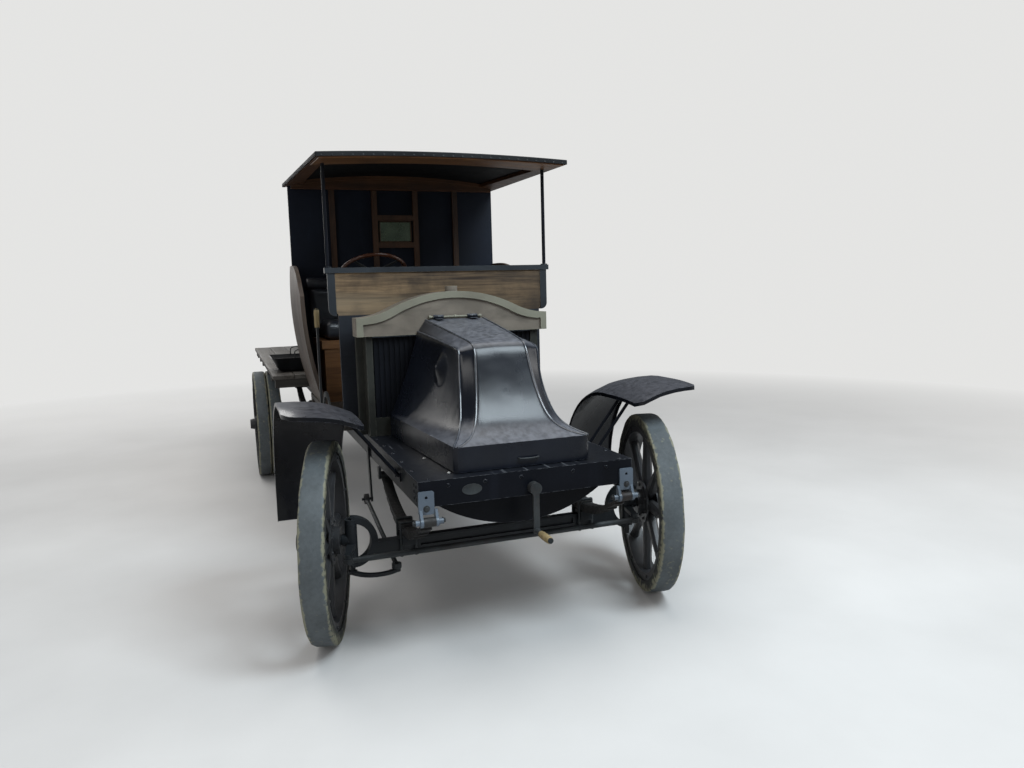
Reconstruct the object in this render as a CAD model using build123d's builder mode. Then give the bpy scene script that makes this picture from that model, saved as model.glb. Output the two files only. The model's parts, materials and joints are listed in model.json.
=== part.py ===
from build123d import *
import os
from math import asin, atan2, cos, pi, radians, sin, sqrt, tan

os.makedirs("parts", exist_ok=True)

# Old military truck with a scuttle bonnet, open cab and flat bed, in millimetres.
# X points forward, Y to the vehicle's left, Z up; the floor is Z = 0.

# Driving sizes, along the vehicle from the front axle
front_reach = 620
rear_reach = 5260
wheelbase = 3567
front_x = (rear_reach - front_reach) / 2
rear_x = front_x - wheelbase
fit_gap = 0.1
seat_gap = 0.3

# Wheels
wheel_r = 450
tyre_depth = 56
felloe_depth = 36
front_tyre_w = 105
rear_tyre_w = 96
twin_gap = 8
spoke_count = 8
hub_r = 62
spindle_r = 22
rear_spindle_r = 30
rear_track_half = 875

# Steering
rest_steer = 14.7
kingpin_y = 700
kingpin_r = 12
kingpin_offset = 108
steer_arm = 150
steer_arm_z = 425
tie_rod_r = 13
drag_arm = 196
drag_arm_z = 290
drop_arm_len = 280
column_angle = 59
column_y = -288
hand_back = 1400
hand_x = front_x - hand_back
hand_z = 1673
hand_r = 210

# Frame
rail_top = 780
rail_h = 115
rail_flange = 55
rail_t = 8
frame_half = 475
rail_ahead = 427
rail_front = front_x + rail_ahead
bed_overhang = 40
rail_rear = front_x - rear_reach + bed_overhang
rail_bottom = rail_top - rail_h
spring_y = frame_half - rail_flange / 2

# Deck round the bonnet
deck_t = 8
deck_top = rail_top + deck_t
deck_out = 11
deck_half = frame_half + deck_out
deck_ahead = 437
deck_front = front_x + deck_ahead
deck_back = 745
deck_rear = front_x - deck_back
fascia_h = 108
fascia_t = 10

# Bonnet
sheet = 4
bonnet_back = 612
bonnet_rear = front_x - bonnet_back
hinge_z = 1412
hinge_r = 5

# Radiator and header tank
core_back = 655
core_front = front_x - core_back
core_depth = 85
core_half = 448
core_bottom = 886
core_top = 1322
tank_back = 622
tank_front = front_x - tank_back
tank_depth = 130
tank_half = 532
ogee_low = 1420
ogee_top = 1547
band_w = 34
band_t = 12

# Cab
floor_top = 870
floor_t = 26
floor_half = 640
dash_back = 850
dash_front = front_x - dash_back
dash_t = 25
dash_half = 637
dash_low_half = 587
dash_step_z = 1430
dash_top = 1660
rail_cap_h = 28
post_r = 10
post_y = 630
wall_back = 2045
wall_front = front_x - wall_back
wall_t = 20
wall_half = 718
wall_top = 2250
window_half = 116
window_low = 1896
window_top = 2047
batten_t = 25
batten_w = 36
batten_pitch = 289
panel_t = 24
panel_back = 1350
panel_front = front_x - panel_back
panel_r = 2210
panel_bulge_z = 1550
panel_bulge_y = 740
panel_top = 1740

# Roof
roof_back = 635
roof_front = front_x - roof_back
roof_rear_back = 2120
roof_rear = front_x - roof_rear_back
roof_front_half = 692
roof_rear_half = 746
roof_front_edge = 2263
roof_rear_edge = 2300
roof_front_rise = 18
roof_rear_rise = 60
canvas_t = 8
board_t = 22
board_inset = 10
soffit_depth = 295

# Seat
seat_setback = 1520
seat_front = front_x - seat_setback
seat_side_gap = 15
seat_box_top = 1258
cushion_t = 120
back_t = 75
roll_r = 52
back_top = 1670

# Bed
bed_back = 2100
bed_front = front_x - bed_back
bed_rear = front_x - rear_reach
bed_half = 885
bed_top = 1000
board_bed_t = 28
bearer_h = 58
bearer_w = 70

# Front mudguards
guard_in = 645
guard_out = 978
guard_z_in = 1004
guard_z_mid = 1060
guard_z_out = 1070
guard_corner = 60
guard_t = 4
guard_lip = 18
guard_turn_back = 150
guard_turn_x = front_x - guard_turn_back
guard_turn_z = 500
guard_ahead = 236
guard_front = front_x + guard_ahead
guard_low = 370


def front_plane(x):
    """Plane across the vehicle: sketch right is +Y, sketch up is +Z, normal +X."""
    return Plane(origin=(x, 0, 0), x_dir=(0, 1, 0), z_dir=(1, 0, 0))


def side_plane(y):
    """Plane along the vehicle: sketch right is +X, sketch up is +Z, normal -Y."""
    return Plane(origin=(0, y, 0), x_dir=(1, 0, 0), z_dir=(0, -1, 0))


def out_plane(x, y, z, side, turn=0.0):
    """Plane of a wheel: its normal points outboard on the given side."""
    a = radians(turn)
    return Plane(origin=(x, y, z), x_dir=(cos(a), sin(a), 0), z_dir=(-side * sin(a), side * cos(a), 0))


def finish(builder, name):
    builder.part.label = name
    export_step(builder.part, f"parts/{name}.step")


def block(x0, x1, y0, y1, z0, z1, mode=Mode.ADD):
    """A box between named limits, in the sub-part being built."""
    with Locations(((x0 + x1) / 2, (y0 + y1) / 2, (z0 + z1) / 2)):
        Box(abs(x1 - x0), abs(y1 - y0), abs(z1 - z0), mode=mode)


def rod(start, end, radius, mode=Mode.ADD):
    """A round bar between two points, in the sub-part being built."""
    run = Vector(*end) - Vector(*start)
    with Locations(Plane(origin=start, z_dir=run.normalized())):
        Cylinder(radius, run.length, align=(Align.CENTER, Align.CENTER, Align.MIN), mode=mode)


def rise_radius(half, rise):
    return (half**2 + rise**2) / (2 * rise)


def panel_y(z):
    """Distance of a cab side's outer face from the middle, at a height."""
    return panel_bulge_y - panel_r + sqrt(panel_r**2 - (z - panel_bulge_z) ** 2)


# Chassis frame: two channel rails, cross members and spring hangers
cross_members = [  # x from the front axle
    340,
    -1560,
    -2400,
    -3060,
    -4150,
    -5180,
]
cross_w = 60
leaf_w = 50
hanger_t = 12
eye_r = 20
front_spring = dict(half=450, rise=136, leaf=8, count=5, top_z=490)
rear_spring = dict(half=600, rise=115, leaf=9, count=7, top_z=570)
rear_spring_y = frame_half + 70
front_eye_x = front_x + front_spring["half"]
front_eye_z = front_spring["top_z"] + front_spring["rise"] - front_spring["leaf"] / 2
rear_eye_z = rear_spring["top_z"] + rear_spring["rise"] - rear_spring["leaf"] / 2
eye_pin_r = 12
tow_bore_r = 20
drop_back = 750
drop_x = front_x - drop_back
drop_z = 715
shaft_r = 15

with BuildPart() as chassis_frame:
    for side in (1, -1):
        with BuildSketch(front_plane(rail_rear)):
            with Locations((side * (frame_half - rail_flange / 2), rail_top - rail_h / 2)):
                Rectangle(rail_flange, rail_h)
            with Locations((side * (frame_half - (rail_flange + rail_t) / 2), rail_top - rail_h / 2)):
                Rectangle(rail_flange - rail_t, rail_h - 2 * rail_t, mode=Mode.SUBTRACT)
        extrude(amount=rail_front - rail_rear)
        # Cheeks that carry the rear eye of the front spring
        for cheek in (1, -1):
            y_mid = side * spring_y + cheek * (leaf_w / 2 + 1 + hanger_t / 2)
            with BuildSketch(side_plane(y_mid)):
                with Locations((front_x - front_spring["half"], (rail_bottom + front_eye_z) / 2)):
                    Rectangle(2 * eye_r, rail_bottom - front_eye_z)
                with Locations((front_x - front_spring["half"], front_eye_z)):
                    Circle(eye_r)
            extrude(amount=hanger_t / 2, both=True)
        cheek_out = spring_y + leaf_w / 2 + 1 + hanger_t
        cheek_in = spring_y - leaf_w / 2 - 1 - hanger_t
        eye_x = front_x - front_spring["half"]
        rod((eye_x, side * cheek_in, front_eye_z), (eye_x, side * cheek_out, front_eye_z), eye_pin_r)
        # Pins that carry the rear springs outboard of the rails
        for end in (1, -1):
            eye_x = rear_x + end * rear_spring["half"]
            rod((eye_x, side * (frame_half - rail_t), rear_eye_z), (eye_x, side * (rear_spring_y + 38), rear_eye_z), eye_pin_r)
    for offset_x in cross_members:
        x_mid = front_x + offset_x
        with BuildSketch(side_plane(0)):
            with Locations((x_mid, rail_top - rail_h / 2)):
                Rectangle(cross_w, rail_h - 2 * rail_t)
            with Locations((x_mid - rail_t, rail_top - rail_h / 2)):
                Rectangle(cross_w, rail_h - 4 * rail_t, mode=Mode.SUBTRACT)
        extrude(amount=frame_half - rail_t, both=True)
    # Towing hole in the rear cross member and shaft hole in the right rail
    tow_x = front_x + cross_members[-1] + cross_w / 2
    with Locations(Plane(origin=(tow_x, 0, rail_top - rail_h / 2), z_dir=(1, 0, 0))):
        Hole(tow_bore_r, depth=3 * rail_t)
    with Locations(Plane(origin=(drop_x, -frame_half, drop_z), z_dir=(0, -1, 0))):
        Hole(shaft_r + 8, depth=3 * rail_t)
finish(chassis_frame, "chassis_frame")

# Deck plate round the bonnet with its front fascia
bonnet_front_half = 309
bonnet_rear_half = 378
bonnet_ahead = 376
bonnet_front = front_x + bonnet_ahead
lip = 24
plate_w = 66
plate_h = 96
plate_inset = 19.5
plate_mid_y = frame_half - plate_inset
plate_mid_z = 700
plate_t = 9
plate_hole_r = 6
plate_hole_pitch = 46
with BuildPart() as front_deck:
    with BuildSketch(Plane.XY.offset(rail_top)):
        with Locations(((deck_front + deck_rear) / 2, 0)):
            Rectangle(deck_front - deck_rear, 2 * deck_half)
        with BuildLine():
            Polyline(
                (bonnet_front - lip, bonnet_front_half - lip),
                (bonnet_front - lip, lip - bonnet_front_half),
                (bonnet_rear, lip - bonnet_rear_half),
                (bonnet_rear, bonnet_rear_half - lip),
                close=True,
            )
        make_face(mode=Mode.SUBTRACT)
    extrude(amount=deck_t)
    block(deck_front - fascia_t, deck_front, -deck_half, deck_half, deck_top - fascia_h, deck_top)
    crank_y = 12
    crank_z = 712
    crank_shaft_r = 14
    with Locations(Plane(origin=(deck_front, crank_y, crank_z), z_dir=(1, 0, 0))):
        Hole(crank_shaft_r + fit_gap, depth=2 * fascia_t)
    # Bolt holes that go on through the end plates in front
    with Locations(Plane(origin=(deck_front, 0, plate_mid_z), x_dir=(0, 1, 0), z_dir=(1, 0, 0))):
        with GridLocations(2 * plate_mid_y, plate_hole_pitch, 2, 2):
            Hole(plate_hole_r, depth=2 * fascia_t)
finish(front_deck, "front_deck")

# Light plates at the frame ends, which carry the front spring eyes
with BuildPart() as frame_end_plates:
    for side in (1, -1):
        with BuildSketch(front_plane(deck_front)):
            with Locations((side * plate_mid_y, plate_mid_z)):
                RectangleRounded(plate_w, plate_h, 8)
                with Locations((0, plate_hole_pitch / 2), (0, -plate_hole_pitch / 2)):
                    Circle(plate_hole_r, mode=Mode.SUBTRACT)
        extrude(amount=plate_t)
        # Two cheeks hang from the plate's foot and hold the spring eye between them
        for cheek in (1, -1):
            y_cheek = side * spring_y + cheek * (leaf_w / 2 + 1 + hanger_t / 2)
            with BuildSketch(side_plane(y_cheek)):
                with BuildLine():
                    Polyline(
                        (deck_front, plate_mid_z - plate_h / 2 + 20),
                        (deck_front + plate_t, plate_mid_z - plate_h / 2 + 20),
                        (front_eye_x + eye_r, front_eye_z),
                        (front_eye_x - eye_r, front_eye_z),
                        close=True,
                    )
                make_face()
                with Locations((front_eye_x, front_eye_z)):
                    Circle(eye_r)
            extrude(amount=hanger_t / 2, both=True)
        rod((front_eye_x, side * (spring_y - 58), front_eye_z), (front_eye_x, side * (spring_y + 58), front_eye_z), eye_pin_r)
finish(frame_end_plates, "frame_end_plates")

# Leaf springs, each a stack of arcs that grow shorter downwards
with BuildPart() as leaf_springs:
    for side in (1, -1):
        for spring, mid_x, mid_y in (
            (front_spring, front_x, side * spring_y),
            (rear_spring, rear_x, side * rear_spring_y),
        ):
            radius = rise_radius(spring["half"], spring["rise"])
            centre_z = spring["top_z"] + radius
            reach = asin(spring["half"] / radius)
            with BuildSketch(side_plane(mid_y)):
                for leaf in range(spring["count"]):
                    inner = radius + leaf * spring["leaf"]
                    outer = inner + spring["leaf"]
                    swing = reach * (1 - 0.8 * leaf / spring["count"])
                    tips = [(mid_x + end * r * sin(swing), centre_z - r * cos(swing)) for r in (inner, outer) for end in (-1, 1)]
                    with BuildLine():
                        ThreePointArc(tips[0], (mid_x, centre_z - inner), tips[1])
                        Line(tips[1], tips[3])
                        ThreePointArc(tips[3], (mid_x, centre_z - outer), tips[2])
                        Line(tips[2], tips[0])
                    make_face()
                for end in (1, -1):
                    with Locations((mid_x + end * spring["half"], spring["top_z"] + spring["rise"] - spring["leaf"] / 2)):
                        Circle(eye_r)
                        Circle(eye_pin_r + fit_gap, mode=Mode.SUBTRACT)
            extrude(amount=leaf_w / 2, both=True)
            # Clamp plate over the middle of the stack
            block(mid_x - 55, mid_x + 55, mid_y - 32, mid_y + 32, spring["top_z"] - 6, spring["top_z"] + 12)
finish(leaf_springs, "leaf_springs")

# Front axle: a beam with C-shaped yokes that hold the kingpins
beam_z = 402
beam_h = 58
beam_w = 42
beam_web = 16
beam_flange = 13
yoke_mid_z = 440
yoke_out_r = 117
yoke_in_r = 86
ear_half = 104
ear_t = 26
ear_r = 27
with BuildPart() as front_axle:
    seat_z = front_spring["top_z"] - front_spring["count"] * front_spring["leaf"] - seat_gap
    block(front_x - beam_w / 2, front_x + beam_w / 2, yoke_in_r + 12 - kingpin_y, kingpin_y - yoke_in_r - 12,
          beam_z - beam_h / 2, beam_z + beam_h / 2)
    # The forging is hollowed front and back to an I between the spring seats
    for face in (1, -1):
        block(front_x + face * beam_web / 2, front_x + face * beam_w, 60 - spring_y, spring_y - 60,
              beam_z - beam_h / 2 + beam_flange, beam_z + beam_h / 2 - beam_flange, mode=Mode.SUBTRACT)
    for side in (1, -1):
        block(front_x - 50, front_x + 50, side * (spring_y - 30), side * (spring_y + 30), beam_z, seat_z)
        with BuildSketch(front_plane(front_x)):
            with Locations((side * kingpin_y, yoke_mid_z)):
                Circle(yoke_out_r)
                Circle(yoke_in_r, mode=Mode.SUBTRACT)
            with Locations((side * (kingpin_y + yoke_out_r / 2), yoke_mid_z)):
                Rectangle(yoke_out_r, 2.2 * yoke_out_r, mode=Mode.SUBTRACT)
        extrude(amount=beam_w / 2, both=True)
        for end in (1, -1):
            ear_z = yoke_mid_z + end * (ear_half - ear_t / 2)
            with BuildSketch(Plane.XY.offset(ear_z - ear_t / 2)):
                with Locations((front_x, side * kingpin_y)):
                    Circle(ear_r)
            extrude(amount=ear_t)
        with Locations(Plane(origin=(front_x, side * kingpin_y, yoke_mid_z + ear_half + 10))):
            Hole(kingpin_r + fit_gap, depth=2 * ear_half + 40)
finish(front_axle, "front_axle")

# Engine, clutch housing and gearbox as one closed mass
engine_ahead = 100
engine_front = front_x + engine_ahead
engine_back = 540
engine_rear = front_x - engine_back
gearbox_back = 1380
gearbox_rear = front_x - gearbox_back
with BuildPart() as engine_block:
    block(engine_rear, engine_front, -150, 150, 560, 1120)
    block(gearbox_rear, engine_rear, -120, 120, 570, 765)
    fillet(engine_block.edges().filter_by(Axis.X), radius=18)
    # Arms that rest on the lower flanges of the rails
    for arm_x in (engine_rear + 60, engine_front - 80):
        for side in (1, -1):
            arm_end = frame_half - rail_t - 10
            block(arm_x - 25, arm_x + 25, side * 140, side * arm_end, rail_bottom + rail_t + seat_gap, rail_bottom + 38)
finish(engine_block, "engine_block")

# Undertray: a belly of sheet below the engine, closed in front and open behind
tray_half = 398
tray_drop = 130
tray_z = rail_bottom - seat_gap
tray_ahead = 330
tray_front = front_x + tray_ahead
tray_back = 560
tray_rear = front_x - tray_back
with BuildPart() as engine_undertray:
    for x0, skin in ((tray_rear, 0), (tray_rear - sheet, sheet)):
        with BuildSketch(front_plane(x0)):
            with BuildLine():
                ThreePointArc((skin - tray_half, tray_z), (0, tray_z - tray_drop + skin), (tray_half - skin, tray_z))
                Line((tray_half - skin, tray_z), (skin - tray_half, tray_z))
            make_face()
        extrude(amount=tray_front - tray_rear, mode=Mode.SUBTRACT if skin else Mode.ADD)
    # Flanges bolted below the rails, broken at the rear eyes of the springs
    for side in (1, -1):
        for x0, x1 in ((tray_rear, front_x - front_spring["half"] - 30), (front_x - front_spring["half"] + 30, tray_front)):
            block(x0, x1, side * (tray_half - 12), side * (frame_half - 10), tray_z - sheet, tray_z)
finish(engine_undertray, "engine_undertray")

# Starting crank that hangs in front of the fascia
crank_drop = 182
with BuildPart() as starting_crank:
    rod((deck_front - 40, crank_y, crank_z), (deck_front + 38, crank_y, crank_z), crank_shaft_r)
    rod((deck_front + seat_gap, crank_y, crank_z), (deck_front + 38, crank_y, crank_z), 26)
    block(deck_front + 26, deck_front + 38, crank_y - 13, crank_y + 13, crank_z - crank_drop - 13, crank_z)
    rod((deck_front + 26, crank_y, crank_z - crank_drop), (front_x + front_reach, crank_y, crank_z - crank_drop), 12)
finish(starting_crank, "starting_crank")

# Bonnet levels from the deck upwards; every level is a plane that tilts with its two heights
bonnet_levels = [  # front z, rear z, front x, front half width, rear half width, corner cut
    (deck_top + seat_gap, deck_top + seat_gap, bonnet_ahead, bonnet_front_half, bonnet_rear_half, 22),
    (900, 900, bonnet_ahead, bonnet_front_half, bonnet_rear_half, 22),
    (918, 922, 318, 266, 360, 40),
    (958, 968, 250, 228, 341, 50),
    (1050, 1085, 192, 207, 292, 55),
    (1159, 1226, 146, 194, 243, 58),
    (1262, 1338, 112, 188, 208, 60),
    (1298, 1400, 62, 122, 164, 40),
]


def bonnet_level(level, inset, lift, rear_over):
    """Hexagon of one bonnet level, shrunk by inset, moved up by lift and run out behind."""
    z_front, z_rear, x_front, half_front, half_rear, corner = level
    x_front = front_x + x_front
    slope = atan2(z_rear - z_front, x_front - bonnet_rear)
    plane = Plane(origin=(x_front, 0, z_front + lift), x_dir=(-cos(slope), 0, sin(slope)), z_dir=(sin(slope), 0, cos(slope)))
    run = (x_front - bonnet_rear) / cos(slope)
    corner_in = corner + inset * (sqrt(2) - 1)
    with BuildSketch(plane) as hexagon:
        with BuildLine():
            Polyline(
                (inset, half_front - corner_in),
                (corner_in, half_front - inset),
                (run + rear_over, half_rear - inset),
                (run + rear_over, inset - half_rear),
                (corner_in, inset - half_front),
                (inset, corner_in - half_front),
                close=True,
            )
        make_face()
    return hexagon.sketch


dome_back = 107
dome_x = front_x - dome_back
dome_y = -185
dome_z = 1172
dome_r = 70
box_levels = 2
crown_levels = 2


def bonnet_form(levels, mode=Mode.ADD):
    """Straight box, then walls that sweep smoothly up to the shoulder, then a straight crown."""
    loft(levels[:box_levels], ruled=True, mode=mode)
    loft(levels[box_levels - 1:1 - crown_levels], mode=mode)
    loft(levels[-crown_levels:], ruled=True, mode=mode)


with BuildPart() as bonnet:
    bonnet_form([bonnet_level(level, 0, 0, 0) for level in bonnet_levels])
    # Round bulge pressed out of the right side
    with Locations((dome_x, dome_y, dome_z)):
        Sphere(dome_r)
    # The inside follows the same levels, one sheet in, and runs out below and behind
    lifts = [-2 * deck_t] + [0] * (len(bonnet_levels) - 2) + [-sheet]
    inside = [bonnet_level(level, sheet, lift, 20) for level, lift in zip(bonnet_levels, lifts)]
    bonnet_form(inside, Mode.SUBTRACT)
    # Hinge barrels at the rear top edge
    for side in (1, -1):
        with BuildSketch(side_plane(side * 95)):
            with Locations((bonnet_rear + 1, hinge_z)):
                Circle(hinge_r + 5)
            with Locations((bonnet_rear + 12, hinge_z - 9)):
                Rectangle(18, 10)
            with Locations((bonnet_rear + 1, hinge_z)):
                Circle(hinge_r + fit_gap, mode=Mode.SUBTRACT)
        extrude(amount=28, both=True)
finish(bonnet, "bonnet")

# Radiator core of upright finned tubes
fin_pitch = 28
fin_depth = 6
with BuildPart() as radiator_core:
    block(core_front - core_depth + fin_depth, core_front - fin_depth, -core_half, core_half, core_bottom, core_top)
    fin_count = int(2 * core_half // fin_pitch)
    for face_x in (core_front - fin_depth / 2, core_front - core_depth + fin_depth / 2):
        with BuildSketch(Plane.XY.offset(core_bottom)):
            with Locations((face_x, 0)):
                with GridLocations(0, fin_pitch, 1, fin_count):
                    Rectangle(fin_depth, fin_pitch / 2)
        extrude(amount=core_top - core_bottom)
finish(radiator_core, "radiator_core")


def ogee_outline(inset, foot):
    """Header tank outline: flat feet, hollow flanks and a round crown, drawn as tangent arcs."""
    half = tank_half - inset
    top = ogee_top - inset
    low = ogee_low - inset
    join_y = 0.66 * half
    rise = top - low
    angle = 2 * atan2(rise, half)
    crown_r = join_y / sin(angle)
    flank_r = (half - join_y) / sin(angle)
    join_z = top - crown_r * (1 - cos(angle))
    foot_z = join_z - flank_r * (1 - cos(angle))
    mid = angle / 2
    for side in (1, -1):
        ThreePointArc(
            (0, top),
            (side * crown_r * sin(mid), top - crown_r * (1 - cos(mid))),
            (side * join_y, join_z),
        )
        ThreePointArc(
            (side * join_y, join_z),
            (side * (half - flank_r * sin(mid)), foot_z + flank_r * (1 - cos(mid))),
            (side * half, foot_z),
        )
        Line((side * half, foot_z), (side * half, foot))
    Line((half, foot), (-half, foot))


filler_r = 34
with BuildPart() as header_tank:
    with BuildSketch(front_plane(tank_front - tank_depth)):
        with BuildLine():
            ogee_outline(0, core_top)
        make_face()
    extrude(amount=tank_depth)
    # Raised band along the ogee edge
    with BuildSketch(front_plane(tank_front)):
        with BuildLine():
            ogee_outline(0, core_top)
        make_face()
        with BuildLine():
            ogee_outline(band_w, core_top - 40)
        make_face(mode=Mode.SUBTRACT)
    extrude(amount=band_t)
    with BuildSketch(Plane.XY.offset(ogee_top - 12)):
        with Locations((tank_front - 55, 0)):
            Circle(filler_r)
    extrude(amount=40)
    # Ears and pin of the bonnet hinge
    for ear_y in (-140, 0, 140):
        with BuildSketch(side_plane(ear_y)):
            with Locations((tank_front + 5, hinge_z)):
                Rectangle(14, 16)
            with Locations((bonnet_rear + 1, hinge_z)):
                Circle(hinge_r + 3)
        extrude(amount=6, both=True)
    rod((bonnet_rear + 1, -145, hinge_z), (bonnet_rear + 1, 145, hinge_z), hinge_r)
finish(header_tank, "header_tank")

# Radiator frame: two light side posts and the bottom tank between them
post_in = core_half + seat_gap
post_out = 522
with BuildPart() as radiator_frame:
    block(core_front - core_depth, core_front, -post_in - 2, post_in + 2, deck_top, core_bottom)
    for side in (1, -1):
        with BuildSketch(Plane.XY.offset(deck_top)):
            with Locations((core_front - 42, side * (post_in + 17))):
                Rectangle(96, 34)
            with Locations((core_front - 82, side * (post_in + post_out) / 2)):
                Rectangle(16, post_out - post_in)
            with Locations((core_front - 90, side * (post_out - 8))):
                Rectangle(32, 16)
        extrude(amount=core_top - deck_top)
finish(radiator_frame, "radiator_frame")

# Dash: plank panel, wider above the step, with rounded lower corners
corner_r = 55
border = 40
with BuildPart() as dash_panel:
    with BuildSketch(front_plane(dash_front - dash_t)):
        with Locations((0, (floor_top + dash_step_z) / 2 + corner_r / 2)):
            Rectangle(2 * dash_low_half, dash_step_z - floor_top + corner_r)
        with Locations((0, (dash_step_z + dash_top) / 2)):
            RectangleRounded(2 * (dash_half - border), dash_top - dash_step_z, corner_r / 2)
        with Locations((0, dash_top - corner_r / 2)):
            Rectangle(2 * (dash_half - border), corner_r)
    extrude(amount=dash_t)
finish(dash_panel, "dash_panel")

# Painted frame of the dash: top rail and side borders
with BuildPart() as dash_frame:
    block(dash_front - dash_t - 15, dash_front + 10, -dash_half - 13, dash_half + 13, dash_top, dash_top + rail_cap_h)
    for side in (1, -1):
        with BuildSketch(front_plane(dash_front - dash_t)):
            with Locations((side * (dash_half - border / 2), (dash_step_z + dash_top) / 2)):
                Rectangle(border, dash_top - dash_step_z)
        extrude(amount=dash_t + 4)
    foot_edges = dash_frame.edges().filter_by(Axis.X).group_by(Axis.Z)[0].sort_by(Axis.Y)
    fillet([foot_edges[0], foot_edges[-1]], radius=border - 4)
finish(dash_frame, "dash_frame")


def roof_z(x, y, drop):
    """Height of the roof's top skin less drop, at a station and a distance from the centre."""
    share = (roof_front - x) / (roof_front - roof_rear)
    half = roof_front_half + share * (roof_rear_half - roof_front_half)
    rise = roof_front_rise + share * (roof_rear_rise - roof_front_rise)
    edge = roof_front_edge + share * (roof_rear_edge - roof_front_edge)
    radius = rise_radius(half, rise)
    return edge + rise - radius + sqrt(radius**2 - y**2) - drop


def roof_section(x, inset, top_drop, low_drop):
    """Bowed band across the roof at one station."""
    share = (roof_front - x) / (roof_front - roof_rear)
    half = roof_front_half + share * (roof_rear_half - roof_front_half) - inset
    with BuildSketch(front_plane(x)) as band:
        with BuildLine():
            ThreePointArc((-half, roof_z(x, half, top_drop)), (0, roof_z(x, 0, top_drop)), (half, roof_z(x, half, top_drop)))
            Line((half, roof_z(x, half, top_drop)), (half, roof_z(x, half, low_drop)))
            ThreePointArc((half, roof_z(x, half, low_drop)), (0, roof_z(x, 0, low_drop)), (-half, roof_z(x, half, low_drop)))
            Line((-half, roof_z(x, half, low_drop)), (-half, roof_z(x, half, top_drop)))
        make_face()
    return band.sketch


# Canopy posts between the dash rail and the roof's front board
post_x = dash_front - 12
with BuildPart() as canopy_posts:
    for side in (1, -1):
        post_foot = dash_top + rail_cap_h
        post_head = roof_z(post_x - 20, post_y + post_r, canvas_t + board_t) - 1
        rod((post_x, side * post_y, post_foot), (post_x, side * post_y, post_head), post_r)
        rod((post_x, side * post_y, post_foot), (post_x, side * post_y, post_foot + 6), 20)
finish(canopy_posts, "canopy_posts")

# Roof skin with edges turned down over the boards
lip_t = 5
lip_h = 24
with BuildPart() as roof_canopy:
    loft([roof_section(x, 0, 0, canvas_t + lip_h) for x in (roof_front, roof_rear)], ruled=True)
    inner_ends = (roof_front - lip_t, roof_rear + lip_t)
    loft([roof_section(x, lip_t, canvas_t, canvas_t + 2 * lip_h) for x in inner_ends], ruled=True, mode=Mode.SUBTRACT)
finish(roof_canopy, "roof_canopy")

# Roof boards below the canvas: front soffit, side rails and rear bow, open between them
rear_bow_w = 55
with BuildPart() as roof_bows:
    board_ends = (roof_front - board_inset, roof_rear + board_inset)
    loft([roof_section(x, board_inset, canvas_t, canvas_t + board_t) for x in board_ends], ruled=True)
    with BuildSketch(Plane.XY.offset(wall_top - 100)):
        with Locations(((wall_front + rear_bow_w + roof_front - soffit_depth) / 2, 0)):
            Rectangle(roof_front - soffit_depth - wall_front - rear_bow_w, 2 * (roof_front_half - 70))
    extrude(amount=roof_rear_edge + 2 * roof_rear_rise - wall_top + 100, mode=Mode.SUBTRACT)
    # Deep arched beam against the rear wall
    with BuildSketch(front_plane(wall_front + batten_t + seat_gap)):
        with BuildLine():
            low = roof_z(wall_front, wall_half - 20, canvas_t + board_t / 2)
            crown = roof_z(wall_front, 0, canvas_t + board_t / 2)
            ThreePointArc((20 - wall_half, low), (0, crown), (wall_half - 20, low))
            Polyline((wall_half - 20, low), (wall_half - 20, wall_top), (20 - wall_half, wall_top), (20 - wall_half, low))
        make_face()
    extrude(amount=rear_bow_w - batten_t - 5)
finish(roof_bows, "roof_bows")

# Rear wall of the cab with its small window
with BuildPart() as cab_rear_wall:
    with BuildSketch(front_plane(wall_front - wall_t)):
        with Locations((0, (floor_top + wall_top) / 2)):
            Rectangle(2 * wall_half, wall_top - floor_top)
        # The head follows the underside of the roof boards
        with BuildLine():
            board_low = canvas_t + board_t + seat_gap
            head_side = roof_z(wall_front, wall_half, board_low)
            ThreePointArc((-wall_half, head_side), (0, roof_z(wall_front, 0, board_low)), (wall_half, head_side))
            Polyline((wall_half, head_side), (wall_half, wall_top), (-wall_half, wall_top), (-wall_half, head_side))
        make_face()
        for side in (1, -1):
            with BuildLine():
                foot_y = panel_y(floor_top)
                ThreePointArc(
                    (side * foot_y, floor_top),
                    (side * (panel_y(panel_bulge_z - 340) - panel_t), panel_bulge_z - 340),
                    (side * wall_half, panel_bulge_z - 150),
                )
                Polyline(
                    (side * wall_half, panel_bulge_z - 150),
                    (side * (wall_half + 40), panel_bulge_z - 150),
                    (side * (wall_half + 40), floor_top),
                    (side * foot_y, floor_top),
                )
            make_face(mode=Mode.SUBTRACT)
        with Locations((0, (window_low + window_top) / 2)):
            Rectangle(2 * window_half, window_top - window_low, mode=Mode.SUBTRACT)
    extrude(amount=wall_t)
finish(cab_rear_wall, "cab_rear_wall")

# Battens that divide the rear wall into five bays, with rails round the window
batten_low = seat_box_top + cushion_t
batten_ys = [-1.5 * batten_pitch, -0.5 * batten_pitch, 0.5 * batten_pitch, 1.5 * batten_pitch]
with BuildPart() as wall_battens:
    for batten_y in batten_ys:
        block(wall_front, wall_front + batten_t, batten_y - batten_w / 2, batten_y + batten_w / 2, batten_low, wall_top)
    for rail_z in (window_low - batten_w / 2, window_top + batten_w / 2):
        block(wall_front, wall_front + batten_t, -batten_pitch / 2, batten_pitch / 2, rail_z - batten_w / 2, rail_z + batten_w / 2)
finish(wall_battens, "wall_battens")

glass_t = 4
with BuildPart() as window_glass:
    block(wall_front - wall_t / 2 - glass_t / 2, wall_front - wall_t / 2 + glass_t / 2, -window_half, window_half,
          window_low, window_top)
finish(window_glass, "window_glass")

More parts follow.
